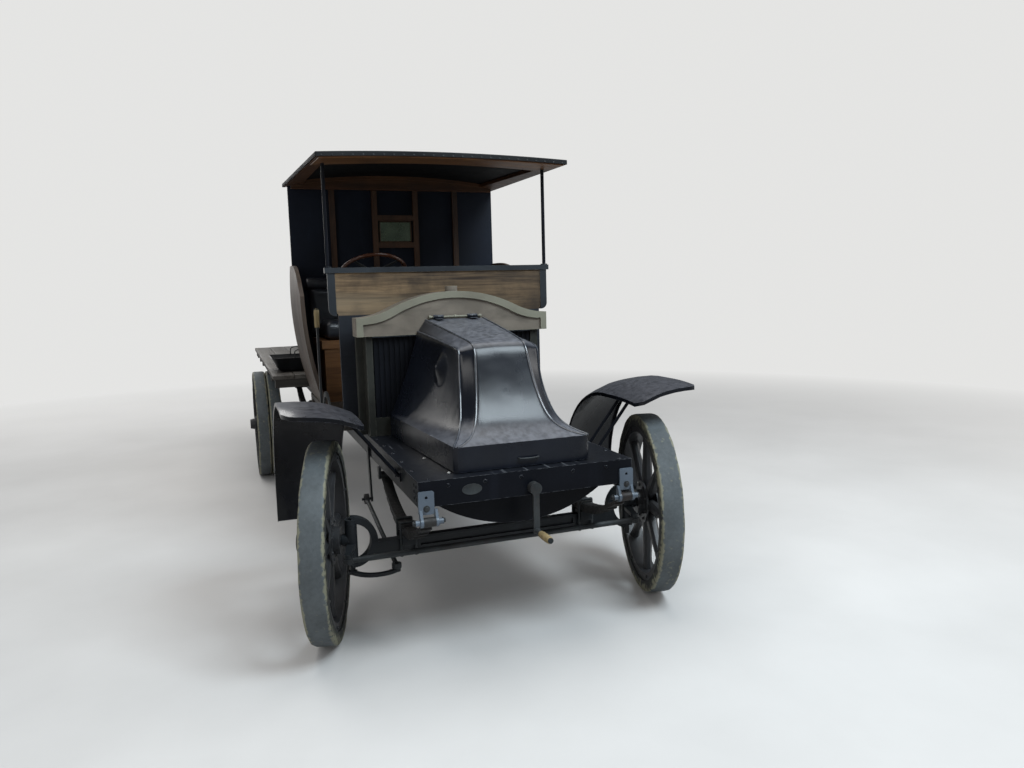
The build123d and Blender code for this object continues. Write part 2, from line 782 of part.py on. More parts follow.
# Side panels of the cab, bowed outwards
panel_fall = 200
panel_fall_x = wall_front + 120
with BuildPart() as side_panels:
    for side in (1, -1):
        with BuildSketch(front_plane(wall_front)):
            with BuildLine():
                zs = (floor_top, panel_bulge_z, panel_top + 20)
                outer = [panel_y(z) for z in zs]
                ThreePointArc(*[(side * y, z) for y, z in zip(outer, zs)])
                Line((side * outer[2], zs[2]), (side * (outer[2] - panel_t), zs[2]))
                ThreePointArc(*[(side * (y - panel_t), z) for y, z in reversed(list(zip(outer, zs)))])
                Line((side * (outer[0] - panel_t), floor_top), (side * outer[0], floor_top))
            make_face()
        extrude(amount=panel_front - wall_front)
    # Seen from the side, the top edge falls away towards the front
    with BuildSketch(side_plane(0)):
        with BuildLine():
            TangentArc((panel_fall_x, panel_top), (panel_front, panel_top - panel_fall), tangent=(1, 0))
            Polyline(
                (panel_front, panel_top - panel_fall),
                (panel_front, floor_top - 10),
                (wall_front - 10, floor_top - 10),
                (wall_front - 10, panel_top),
                (panel_fall_x, panel_top),
            )
        make_face()
    extrude(amount=panel_bulge_y + 10, both=True, mode=Mode.INTERSECT)
finish(side_panels, "side_panels")

# Cab floor on sills and cross bearers
floor_front = dash_front + 20
floor_rear = wall_front - wall_t
with BuildPart() as cab_floor:
    block(floor_rear, floor_front, -floor_half, floor_half, floor_top - floor_t, floor_top)
    for side in (1, -1):
        block(floor_rear, floor_front, side * (frame_half - rail_flange), side * frame_half, rail_top, floor_top - floor_t)
    for bearer_x in (floor_front - 40, (floor_front + floor_rear) / 2, floor_rear + 40):
        block(bearer_x - 30, bearer_x + 30, -floor_half, floor_half, floor_top - floor_t - 45, floor_top - floor_t)
    # Slot for the steering column
    slot_x = hand_x + (hand_z - floor_top) / tan(radians(column_angle))
    block(slot_x - 60, slot_x + 90, column_y - 40, column_y + 40, rail_top, floor_top + 5, mode=Mode.SUBTRACT)
finish(cab_floor, "cab_floor")

# Seat: wooden box with a light top rail, cushion and rolled back
seat_box_half = panel_y(floor_top) - panel_t - seat_side_gap
seat_half = seat_box_half + 14
seat_rail_h = 50
with BuildPart() as seat_box:
    block(wall_front + 2, seat_front, -seat_box_half, seat_box_half, floor_top, seat_box_top - seat_rail_h)
    block(wall_front + 2, seat_front + 8, -seat_half, seat_half, seat_box_top - seat_rail_h, seat_box_top)
finish(seat_box, "seat_box")

with BuildPart() as seat_cushion:
    block(wall_front + batten_t + back_t + 4, seat_front + 14, -seat_half + 4, seat_half - 4, seat_box_top + seat_gap,
          seat_box_top + cushion_t)
    fillet(seat_cushion.edges().filter_by(Axis.Z), radius=30)
    fillet(seat_cushion.faces().sort_by(Axis.Z)[-1].edges(), radius=28)
finish(seat_cushion, "seat_cushion")

back_x = wall_front + batten_t + seat_gap
with BuildPart() as seat_back:
    with BuildSketch(side_plane(0)):
        with Locations((back_x + back_t / 2 - 6, (seat_box_top + back_top - roll_r) / 2)):
            Rectangle(back_t - 12, back_top - roll_r - seat_box_top - 2 * seat_gap)
        with Locations((back_x + roll_r, back_top - roll_r)):
            Circle(roll_r)
    extrude(amount=seat_half + 46, both=True)
finish(seat_back, "seat_back")

# Steering column, raked back, with its box on the right rail
column_r = 20
shaft_in_r = 11
up = Vector(-cos(radians(column_angle)), 0, sin(radians(column_angle)))
hand_centre = Vector(hand_x, column_y, hand_z)
column_top = hand_centre - up * 46
column_foot = hand_centre - up * ((hand_z - drop_z) / sin(radians(column_angle)))
box_half = 70
with BuildPart() as steering_column:
    rod(tuple(column_foot), tuple(column_top), column_r)
    box_low = rail_bottom + rail_t + 3
    box_high = rail_top - rail_t - 3
    box_out = -frame_half + rail_t + seat_gap
    block(drop_x - box_half - 30, drop_x + box_half, box_out, column_y + 45, box_low, box_high)
    with Locations(Plane(origin=tuple(column_top), z_dir=tuple(up))):
        Hole(shaft_in_r + fit_gap, depth=90)
    with Locations(Plane(origin=(drop_x, box_out, drop_z), z_dir=(0, -1, 0))):
        Hole(shaft_r + fit_gap, depth=60)
finish(steering_column, "steering_column")

# Steering wheel: wooden rim on four flat spokes
rim_r = 13
hand_plane = Plane(origin=tuple(hand_centre), x_dir=(0, 1, 0), z_dir=tuple(up))
with BuildPart() as steering_wheel:
    with BuildSketch(Plane(origin=hand_plane.origin, x_dir=(0, 1, 0), z_dir=hand_plane.y_dir)):
        with Locations((hand_r - rim_r, 0)):
            Circle(rim_r)
    revolve(axis=Axis(hand_plane.origin, hand_plane.z_dir))
    with BuildSketch(hand_plane.offset(-5)):
        Circle(30)
        with PolarLocations(0, 4):
            with Locations(((hand_r - rim_r) / 2, 0)):
                Rectangle(hand_r - rim_r, 24)
    extrude(amount=8)
    with BuildSketch(hand_plane.offset(-45)):
        Circle(30)
    extrude(amount=55)
    with BuildSketch(hand_plane.offset(-46 - 70)):
        Circle(shaft_in_r)
    extrude(amount=80)
finish(steering_wheel, "steering_wheel")

# Hand lever outside the floor's edge, and three pedals
lever_back = 1110
lever_x = front_x - lever_back
lever_y = -676
lever_plate_t = 10
lever_low = 800
lever_top = 1362
with BuildPart() as driver_controls:
    rod((lever_x, -frame_half, lever_low), (lever_x, lever_y - 8, lever_low), 14)
    block(lever_x - 15, lever_x + 15, lever_y - 6, lever_y + 6, lever_low - 10, lever_top)
    rod((lever_x, lever_y, lever_top - 4), (lever_x, lever_y, lever_top + 104), 13)
    with BuildSketch(side_plane(-floor_half - seat_gap)):
        with Locations((lever_x, lever_low)):
            Circle(190)
            Circle(160, mode=Mode.SUBTRACT)
            with Locations((0, -155)):
                Rectangle(400, 400, mode=Mode.SUBTRACT)
    extrude(amount=lever_plate_t)
    for pedal_y in (-440, -160, -60):
        pedal_x = dash_front - dash_t - 75
        block(pedal_x - 16, pedal_x + 16, pedal_y - 16, pedal_y + 16, floor_top, floor_top + 5)
        rod((pedal_x, pedal_y, floor_top + 4), (pedal_x - 35, pedal_y, floor_top + 120), 9)
        with BuildSketch(Plane(origin=(pedal_x - 35, pedal_y, floor_top + 120), x_dir=(0, 1, 0), z_dir=(-cos(0.6), 0, sin(0.6)))):
            RectangleRounded(70, 95, 12)
        extrude(amount=8)
finish(driver_controls, "driver_controls")


def guard_section(plane, side):
    """Crowned strip of the mudguard with both edges turned down: height is measured from the turning line."""
    high_in = guard_z_in - guard_turn_z
    high_mid = guard_z_mid - guard_turn_z
    high_out = guard_z_out - guard_turn_z
    mid_y = (guard_in + guard_out) / 2
    with BuildSketch(plane) as strip:
        with BuildLine():
            ThreePointArc((side * guard_in, high_in), (side * mid_y, high_mid), (side * guard_out, high_out))
            Polyline(
                (side * guard_out, high_out),
                (side * guard_out, high_out - guard_lip),
                (side * (guard_out - guard_t), high_out - guard_lip),
                (side * (guard_out - guard_t), high_out - guard_t),
            )
            ThreePointArc(
                (side * (guard_out - guard_t), high_out - guard_t),
                (side * mid_y, high_mid - guard_t),
                (side * (guard_in + guard_t), high_in - guard_t),
            )
            Polyline(
                (side * (guard_in + guard_t), high_in - guard_t),
                (side * (guard_in + guard_t), high_in - guard_lip),
                (side * guard_in, high_in - guard_lip),
                (side * guard_in, high_in),
            )
        make_face()
    return strip.sketch


# Front mudguards: a crowned strip over the wheel, a quarter turn, and a drop behind it
turn_origin = (guard_turn_x, 0, guard_turn_z)
with BuildPart() as front_mudguards:
    for side in (1, -1):
        upright = guard_section(Plane(origin=turn_origin, x_dir=(0, 1, 0), z_dir=(1, 0, 0)), side)
        extrude(upright, amount=guard_front - guard_turn_x)
        revolve(upright, axis=Axis(turn_origin, (0, -1, 0)), revolution_arc=90)
        level = guard_section(Plane(origin=turn_origin, x_dir=(0, 1, 0), z_dir=(0, 0, 1)), side)
        extrude(level, amount=guard_low - guard_turn_z)
    # Front corners cut back in three chords of a quarter circle
    for side in (1, -1):
        for edge_y, inward in ((guard_in, 1), (guard_out, -1)):
            centre_x = guard_front - guard_corner
            centre_y = edge_y + inward * guard_corner
            plan = [(guard_front + guard_t, centre_y)]
            for angle in (0, 30, 60, 90):
                across = guard_corner * sin(radians(angle))
                ahead = guard_corner * cos(radians(angle))
                plan.append((centre_x + ahead, centre_y - inward * across))
            plan.append((centre_x, edge_y - inward * guard_t))
            plan.append((guard_front + guard_t, edge_y - inward * guard_t))
            with BuildSketch(Plane.XY.offset(guard_z_in - guard_corner)) as corner:
                with BuildLine():
                    Polyline(*[(x, side * y) for x, y in plan], close=True)
                make_face()
            extrude(corner.sketch, amount=3 * guard_corner, mode=Mode.SUBTRACT)
finish(front_mudguards, "front_mudguards")


def guard_under(y):
    """Height of a mudguard's underside at a distance from the middle of the vehicle."""
    mid_y = (guard_in + guard_out) / 2
    half = (guard_out - guard_in) / 2
    mid_z = (guard_z_in + guard_z_out) / 2
    lean = (guard_z_out - guard_z_in) * (y - mid_y) / (2 * half)
    return mid_z + lean + (guard_z_mid - mid_z) * (1 - ((y - mid_y) / half) ** 2) - guard_t


# Stays from the frame rails up to the mudguards
stay_r = 8
stay_top_y = guard_in + 70
stay_top_z = guard_under(stay_top_y - stay_r) - stay_r / 2
with BuildPart() as mudguard_stays:
    for side in (1, -1):
        for stay_x in (front_x + 60, front_x - 40):
            block(stay_x - 16, stay_x + 16, side * (frame_half + seat_gap), side * (frame_half + 9), 708, 748)
            rod((stay_x, side * (frame_half + 8), 730), (stay_x, side * stay_top_y, stay_top_z), stay_r)
finish(mudguard_stays, "mudguard_stays")

# Flat bed of boards on bearers, with a dark front sill
bed_bolt_r = 9
bed_bolt_x = 2500
bed_bolt_y = 1400
bed_mid = (bed_front + bed_rear) / 2
with BuildPart() as bed_deck:
    block(bed_rear, bed_front, -bed_half, bed_half, bed_top - board_bed_t, bed_top)
    with Locations(Plane.XY.offset(bed_top)):
        with Locations((bed_mid, 0)):
            with GridLocations(bed_bolt_x, bed_bolt_y, 2, 2):
                Hole(bed_bolt_r, depth=board_bed_t)
finish(bed_deck, "bed_deck")

bearer_top = bed_top - board_bed_t
bearer_low = bearer_top - bearer_h
bearer_xs = [-2140, -2640, -3140, -3990, -4490, -4990, -5220]  # from the front axle
with BuildPart() as bed_bearers:
    for side in (1, -1):
        block(bed_rear + 20, bed_front - 5, side * (frame_half - 80), side * frame_half, rail_top, bearer_low)
    for offset_x in bearer_xs:
        x_mid = front_x + offset_x
        block(x_mid - bearer_w / 2, x_mid + bearer_w / 2, -bed_half + 15, bed_half - 15, bearer_low, bearer_top)
finish(bed_bearers, "bed_bearers")

# Dark flared tray that stands on the bed behind the cab
with BuildPart() as stowage_tray:
    tray_mid_x = bed_front - 400
    tray_mid_y = -640
    for level_z, size_x, size_y in ((bed_top, 300, 360), (bed_top + 105, 400, 470)):
        with BuildSketch(Plane.XY.offset(level_z)):
            with Locations((tray_mid_x, tray_mid_y)):
                Rectangle(size_x, size_y)
    loft(ruled=True)
    for level_z, size_x, size_y in ((bed_top + 8, 292, 352), (bed_top + 106, 388, 458)):
        with BuildSketch(Plane.XY.offset(level_z)):
            with Locations((tray_mid_x, tray_mid_y)):
                Rectangle(size_x, size_y)
    loft(ruled=True, mode=Mode.SUBTRACT)
finish(stowage_tray, "stowage_tray")

# Rear axle with its final drive and torque tube
twin_half = rear_tyre_w + twin_gap / 2
rim_inset = 8
drum_w = 30
axle_tube_r = 45
drive_r = 150
with BuildPart() as rear_axle:
    inner_end = rear_track_half - twin_half + rim_inset - drum_w - 4
    rod((rear_x, -inner_end, wheel_r), (rear_x, inner_end, wheel_r), axle_tube_r)
    rod((rear_x, -rear_track_half - 90, wheel_r), (rear_x, rear_track_half + 90, wheel_r), rear_spindle_r)
    with BuildSketch(front_plane(rear_x)):
        with BuildLine():
            Polyline((0, wheel_r), (-190, wheel_r), (-190, wheel_r + 46), (-60, wheel_r + drive_r - 10), (0, wheel_r + drive_r))
            Polyline((0, wheel_r + drive_r), (60, wheel_r + drive_r - 10), (190, wheel_r + 46), (190, wheel_r), (0, wheel_r))
        make_face()
    revolve(axis=Axis((rear_x, 0, wheel_r), (0, 1, 0)))
    rod((rear_x, 0, wheel_r), (gearbox_rear - 6, 0, 630), 35)
    for side in (1, -1):
        pad_z = rear_spring["top_z"] - rear_spring["count"] * rear_spring["leaf"] - seat_gap
        block(rear_x - 50, rear_x + 50, side * (rear_spring_y - 32), side * (rear_spring_y + 32), wheel_r, pad_z)
finish(rear_axle, "rear_axle")


def steer_plane(side, z):
    """Level plane at a kingpin, turned by the rest steering angle."""
    a = radians(-rest_steer)
    return Plane(origin=(front_x, side * kingpin_y, z), x_dir=(cos(a), sin(a), 0), z_dir=(0, 0, 1))


# Knuckles: barrel, kingpin, spindle, forward arm; the right one also has the drag arm
barrel_r = 27
barrel_half = ear_half - ear_t - 1.5
drag_arm_bow = 52
drag_arm_w = 26
arm_t = 18
pin_r = 8
eye_h = 22
eye_out_r = 22


def build_knuckle(side):
    outward = steer_plane(side, wheel_r).y_dir * side
    with BuildPart() as knuckle:
        with BuildSketch(steer_plane(side, yoke_mid_z - barrel_half)):
            Circle(barrel_r)
        extrude(amount=2 * barrel_half)
        with BuildSketch(steer_plane(side, drag_arm_z)):
            Circle(kingpin_r)
        extrude(amount=yoke_mid_z + ear_half + 8 - drag_arm_z)
        start = Vector(front_x, side * kingpin_y, wheel_r)
        rod(tuple(start + outward * 10), tuple(start + outward * (kingpin_offset + 78)), spindle_r)
        rod(tuple(start + outward * 10), tuple(start + outward * 40), spindle_r + 5)
        # Forward arm and its pin
        with BuildSketch(steer_plane(side, steer_arm_z - arm_t / 2)):
            with BuildLine():
                Polyline((0, 20), (steer_arm, 13), (steer_arm, -13), (0, -20), close=True)
            make_face()
            with Locations((steer_arm, 0)):
                Circle(18)
        extrude(amount=arm_t)
        with BuildSketch(steer_plane(side, steer_arm_z - arm_t / 2 - eye_h - 8)):
            with Locations((steer_arm, 0)):
                Circle(pin_r)
        extrude(amount=eye_h + 12)
        if side < 0:
            # Curved arm below the yoke that ends in the drag link's pin
            bow_r = rise_radius(drag_arm / 2, drag_arm_bow)
            bow_x = drag_arm_bow - bow_r
            reach = asin(drag_arm / 2 / bow_r)
            with BuildSketch(steer_plane(side, drag_arm_z)):
                with BuildLine():
                    inner, outer = (
                        [(bow_x + r * cos(a), drag_arm / 2 + r * sin(a)) for a in (-reach, 0, reach)]
                        for r in (bow_r - drag_arm_w / 2, bow_r + drag_arm_w / 2)
                    )
                    ThreePointArc(*outer)
                    Line(outer[2], inner[2])
                    ThreePointArc(*reversed(inner))
                    Line(inner[0], outer[0])
                make_face()
                Circle(20)
                with Locations((0, drag_arm)):
                    Circle(18)
            extrude(amount=14)
            with BuildSketch(steer_plane(side, drag_arm_z + 10)):
                with Locations((0, drag_arm)):
                    Circle(pin_r)
            extrude(amount=eye_h + 12)
    return knuckle


knuckle_right = build_knuckle(-1)
finish(knuckle_right, "knuckle_right")
knuckle_left = build_knuckle(1)
finish(knuckle_left, "knuckle_left")


def steer_point(side, along, across, z):
    """Point fixed to a knuckle, in the vehicle's frame at rest."""
    return steer_plane(side, z).from_local_coords(Vector(along, across, 0))


# Tie rod between the two forward arms
tie_z = steer_arm_z - arm_t / 2 - 2 - eye_h / 2
tie_right = steer_point(-1, steer_arm, 0, tie_z)
tie_left = steer_point(1, steer_arm, 0, tie_z)
pin_play = 0.5
with BuildPart() as tie_rod:
    rod(tuple(tie_right), tuple(tie_left), tie_rod_r)
    for eye in (tie_right, tie_left):
        with BuildSketch(Plane.XY.offset(tie_z - eye_h / 2)):
            with Locations((eye.X, eye.Y)):
                Circle(eye_out_r)
        extrude(amount=eye_h)
    for eye in (tie_right, tie_left):
        with Locations(Plane(origin=(eye.X, eye.Y, tie_z + eye_h))):
            Hole(pin_r + pin_play, depth=3 * eye_h)
finish(tie_rod, "tie_rod")

# Drag link from the right knuckle back to the drop arm
drag_ball = steer_point(-1, 0, drag_arm, drag_arm_z + 14 + 2 + eye_h / 2)
drop_swing = asin((drag_ball.X - front_x) / drop_arm_len)
drop_end = Vector(drop_x + drop_arm_len * sin(drop_swing), drag_ball.Y, drop_z - drop_arm_len * cos(drop_swing))
link_eye_r = 28
link_bore_r = 19
link_eye_w = 24
with BuildPart() as drag_link:
    rod(tuple(drag_ball), tuple(drop_end), 11)
    with BuildSketch(Plane.XY.offset(drag_ball.Z - eye_h / 2)):
        with Locations((drag_ball.X, drag_ball.Y)):
            Circle(eye_out_r)
    extrude(amount=eye_h)
    rod((drop_end.X, drop_end.Y - link_eye_w / 2, drop_end.Z), (drop_end.X, drop_end.Y + link_eye_w / 2, drop_end.Z), link_eye_r)
    with Locations(Plane(origin=(drag_ball.X, drag_ball.Y, drag_ball.Z + eye_h))):
        Hole(pin_r + pin_play, depth=3 * eye_h)
    with Locations(Plane(origin=(drop_end.X, drop_end.Y + link_eye_w, drop_end.Z), z_dir=(0, 1, 0))):
        Hole(link_bore_r, depth=3 * link_eye_w)
finish(drag_link, "drag_link")

# Drop arm outside the right rail
drop_arm_t = 10
drop_arm_y = -frame_half - 3 - drop_arm_t
with BuildPart() as drop_arm:
    rod((drop_x, box_out + 45, drop_z), (drop_x, drop_arm_y, drop_z), shaft_r)
    with BuildSketch(side_plane(drop_arm_y)):
        with BuildLine():
            side_x = cos(drop_swing)
            side_z = sin(drop_swing)
            Polyline(
                (drop_x - 24 * side_x, drop_z - 24 * side_z),
                (drop_x + 24 * side_x, drop_z + 24 * side_z),
                (drop_end.X + 14 * side_x, drop_end.Z + 14 * side_z),
                (drop_end.X - 14 * side_x, drop_end.Z - 14 * side_z),
                close=True,
            )
        make_face()
        with Locations((drop_x, drop_z)):
            Circle(30)
        with Locations((drop_end.X, drop_end.Z)):
            Circle(18)
    extrude(amount=-drop_arm_t)
    rod((drop_end.X, drop_arm_y + 2, drop_end.Z), (drop_end.X, drop_end.Y - link_eye_w / 2 - 14, drop_end.Z), 7)
finish(drop_arm, "drop_arm")

# Wheels: felloe, tapered spokes and hub, and the solid tyres round them
tyre_in_r = wheel_r - tyre_depth
felloe_in_r = tyre_in_r - felloe_depth


def ring(plane, in_r, out_r, low, high):
    """Ring about a wheel's axle, between two distances along it."""
    with BuildSketch(plane.offset(low)) as face:
        Circle(out_r)
        Circle(in_r, mode=Mode.SUBTRACT)
    extrude(face.sketch, amount=high - low)


spoke_bevel = 12
spoke_rows = [  # distance from the axle, width across the wheel, share of the full thickness
    (hub_r - 12, 46, 1.0),
    (hub_r + 62, 58, 1.0),
    (felloe_in_r - 70, 40, 0.84),
    (felloe_in_r + 4, 46, 0.92),
]


def build_spoke(plane, angle, spoke_t):
    """Wooden spoke, flat at the hub and rounder and thinner towards the felloe."""
    outward = plane.x_dir * cos(angle) + plane.y_dir * sin(angle)
    across = plane.y_dir * cos(angle) - plane.x_dir * sin(angle)
    sections = []
    for reach, width, share in spoke_rows:
        with BuildSketch(Plane(origin=plane.origin + outward * reach, x_dir=across, z_dir=outward)) as section:
            Rectangle(width, spoke_t * share)
            chamfer(section.vertices(), length=spoke_bevel)
        sections.append(section.sketch)
    loft(sections, ruled=True)


def build_wheel(plane, half_w, spoke_t, hub_in, hub_out, bore_r, drum_r):
    with BuildPart() as wheel:
        ring(plane, felloe_in_r, tyre_in_r, -half_w, half_w)
        for number in range(spoke_count):
            build_spoke(plane, 2 * pi * number / spoke_count, spoke_t)
        with BuildSketch(plane.offset(-hub_in)):
            Circle(hub_r)
        extrude(amount=hub_in + hub_out)
        with BuildSketch(plane.offset(hub_out)):
            Circle(hub_r - 14)
        extrude(amount=38, taper=12)
        for face in (-spoke_t / 2 - 8, spoke_t / 2):
            with BuildSketch(plane.offset(face)):
                Circle(hub_r + 44)
            extrude(amount=8)
        if drum_r:
            with BuildSketch(plane.offset(-half_w - drum_w)):
                Circle(drum_r)
            extrude(amount=drum_w + 4)
        with BuildSketch(plane.offset(-half_w - 60)):
            Circle(bore_r + fit_gap)
        extrude(amount=half_w + 60 + hub_out - 14, mode=Mode.SUBTRACT)
    return wheel


tyre_chamfer = 9


def build_tyre(plane, bands):
    with BuildPart() as tyre:
        for low, high in bands:
            with BuildSketch(Plane(origin=plane.origin, x_dir=plane.x_dir, z_dir=-plane.y_dir)):
                with BuildLine():
                    Polyline(
                        (tyre_in_r + seat_gap, low),
                        (wheel_r - tyre_chamfer, low),
                        (wheel_r, low + tyre_chamfer),
                        (wheel_r, high - tyre_chamfer),
                        (wheel_r - tyre_chamfer, high),
                        (tyre_in_r + seat_gap, high),
                        close=True,
                    )
                make_face()
            revolve(axis=Axis(plane.origin, plane.z_dir))
    return tyre


for side, name in ((-1, "right"), (1, "left")):
    outward = steer_plane(side, wheel_r).y_dir * side
    centre = Vector(front_x, side * kingpin_y, wheel_r) + outward * kingpin_offset
    plane = out_plane(centre.X, centre.Y, centre.Z, side, -rest_steer)
    front_wheel = build_wheel(plane, front_tyre_w / 2 - rim_inset, 46, 62, 92, spindle_r, 0)
    finish(front_wheel, f"front_wheel_{name}")
    front_tyre = build_tyre(plane, [(-front_tyre_w / 2, front_tyre_w / 2)])
    finish(front_tyre, f"front_tyre_{name}")
    plane = out_plane(rear_x, side * rear_track_half, wheel_r, side)
    rear_wheel = build_wheel(plane, twin_half - rim_inset, 64, twin_half - rim_inset + 2, 106, rear_spindle_r, 190)
    finish(rear_wheel, f"rear_wheel_{name}")
    rear_tyre = build_tyre(plane, [(-twin_half, -twin_gap / 2), (twin_gap / 2, twin_half)])
    finish(rear_tyre, f"rear_tyre_{name}")
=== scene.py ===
# %% [markdown]
# An old military truck, dressed for its portrait
# The construction of the truck arrives as a fixed frame of solid nodes, in metres: X points forward, Y to
# the truck's left, Z up, with the ground at Z = 0. Nothing here moves those nodes. Each one gets a finish,
# and where the real piece is softer, rounder or finer than its solid, it is modelled and hides the solid.

# %% Load the frame
import json
import random
from math import atan2, cos, hypot, pi, radians, sin, sqrt

import bmesh
import bpy
from mathutils import Matrix, Vector


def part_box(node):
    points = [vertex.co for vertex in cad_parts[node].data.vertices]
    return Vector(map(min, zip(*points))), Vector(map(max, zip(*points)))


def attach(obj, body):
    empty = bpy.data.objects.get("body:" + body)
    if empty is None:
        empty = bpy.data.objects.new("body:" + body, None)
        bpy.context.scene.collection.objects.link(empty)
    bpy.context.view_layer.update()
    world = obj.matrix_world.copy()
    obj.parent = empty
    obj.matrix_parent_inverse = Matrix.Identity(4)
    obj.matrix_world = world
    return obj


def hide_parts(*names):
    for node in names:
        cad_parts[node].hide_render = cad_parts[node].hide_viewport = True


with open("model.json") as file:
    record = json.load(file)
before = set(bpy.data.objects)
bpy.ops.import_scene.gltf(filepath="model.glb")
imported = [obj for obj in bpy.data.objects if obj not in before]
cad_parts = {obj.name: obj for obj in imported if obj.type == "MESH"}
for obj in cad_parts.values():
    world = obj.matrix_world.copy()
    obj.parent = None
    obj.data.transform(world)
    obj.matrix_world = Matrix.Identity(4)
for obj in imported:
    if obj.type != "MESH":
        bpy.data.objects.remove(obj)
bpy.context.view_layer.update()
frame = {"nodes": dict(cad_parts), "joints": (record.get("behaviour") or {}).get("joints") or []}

# %% [markdown]
# The places that the new pieces share could be typed in, but they are read off the frame once, so that a
# piece always sits where its neighbour is. The front axle is a good landmark, because most of the truck was
# measured from it.

# %% Landmarks
FRONT_AXLE_X, REAR_AXLE_X = (sum(corner.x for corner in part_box(node)) / 2
                             for node in ("front_axle", "rear_wheel_left"))
WHEEL_R = (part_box("rear_tyre_left")[1].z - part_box("rear_tyre_left")[0].z) / 2
WHEELS = ("front_right", "front_left", "rear_right", "rear_left")
JOINTS = {joint["name"]: joint for joint in frame["joints"]}
print("front axle at x =", round(FRONT_AXLE_X, 3), "rear axle at x =", round(REAR_AXLE_X, 3))

# %% [markdown]
# The camera stands where the photographer stood: at the right front corner, at eye height, with a wide lens
# turned a little down. It could be aimed at a target with a constraint, but that can't tilt the horizon. So its
# direction is built from three angles, as a tripod head is set: yaw, pitch and roll.

# %% The camera
CAMERA_PLACE = Vector((5.7353, -1.1682, 1.5486))
YAW, PITCH, ROLL = radians(20.23), radians(7.0), radians(-1.54)
LENS_MM, SENSOR_MM = 27.13, 36


def add_camera():
    """A camera turned by yaw, pitch and roll, looking back along the truck."""
    ahead = Vector((-cos(YAW) * cos(PITCH), sin(YAW) * cos(PITCH), -sin(PITCH)))
    level = Vector((sin(YAW), cos(YAW), 0))
    upright = level.cross(ahead)
    right = level * cos(ROLL) + upright * sin(ROLL)
    up = upright * cos(ROLL) - level * sin(ROLL)
    turn = Matrix((right, up, -ahead)).transposed()
    bpy.ops.object.camera_add(location=CAMERA_PLACE, rotation=turn.to_euler())
    camera = bpy.context.object
    camera.data.lens, camera.data.sensor_width = LENS_MM, SENSOR_MM
    bpy.context.scene.camera = camera
    return camera


camera = add_camera()
bpy.context.scene.view_settings.view_transform = "Standard"
print("lens", round(camera.data.lens, 2), "mm")

# %% [markdown]
# Dark paint shows almost nothing of itself and much of the room. Small lamps would leave hard white dots on
# it, so a black truck is lit by large soft ones: a broad sheet overhead, as from skylights, a cool window high
# in front, which draws the shine on the bonnet, and one at each side. The floor is pale and plain.

# %% Floor and lamps
FLOOR_SIZE = 120
BACKDROP = (0.78, 0.78, 0.77, 1)
WARM, COOL = (1.0, 0.985, 0.96), (0.80, 0.92, 1.0)
LAMP_TARGET = Vector((0.8, 0, 0.9))
LAMPS = [  # name, place, size across, watts, colour
    ("skylight", (0.5, 0.0, 6.5), 6.0, 330, WARM),
    ("right front", (7.0, -7.0, 3.4), 4.0, 170, WARM),
    ("high window", (5.0, 1.8, 5.1), 2.4, 330, COOL),
    ("left side", (2.5, 8.0, 3.4), 4.5, 170, WARM),
    ("rear", (-7.5, -3.0, 4.2), 5.0, 240, WARM),
]


def add_room():
    """A pale floor and soft lamps, none of which belong to the truck."""
    bpy.ops.mesh.primitive_plane_add(size=FLOOR_SIZE, location=(0, 0, 0))
    floor = bpy.context.object
    floor.name = "studio_floor"
    for name, place, size, watts, colour in LAMPS:
        turn = (LAMP_TARGET - Vector(place)).to_track_quat("-Z", "Y").to_euler()
        bpy.ops.object.light_add(type="AREA", location=place, rotation=turn)
        lamp = bpy.context.object
        lamp.name, lamp.data.size, lamp.data.energy, lamp.data.color = name, size, watts, colour
    return floor


floor = add_room()
print("lamps:", len(LAMPS))

# %% [markdown]
# A finish is a small tree of nodes. It could be drawn by hand for each material, but the two classes below
# keep such trees tidy. A bench adds a node with its values and joins it up. A finish starts from a ground
# colour and lays other colours over it, each where some pattern says. All patterns start from the Object
# coordinates, which are metres on the truck, so a grain that is written as 3 mm is 3 mm.

# %% A workbench for finishes
class Bench:
    """A tree of nodes under construction."""

    def __init__(self, tree):
        self.tree = tree

    def node(self, kind, **values):
        """Adds a node; a value may be a number, a tuple or the socket that feeds it."""
        made = self.tree.nodes.new(kind)
        for key, value in values.items():
            socket = made.inputs[int(key[1:]) if key[0] == "_" else key]
            if isinstance(value, bpy.types.NodeSocket):
                self.tree.links.new(value, socket)
            else:
                socket.default_value = value
        return made

    def sum_of(self, operation, *values):
        """One sum on numbers or sockets."""
        made = self.node("ShaderNodeMath", **{f"_{i}": value for i, value in enumerate(values)})
        made.operation = operation
        return made.outputs[0]


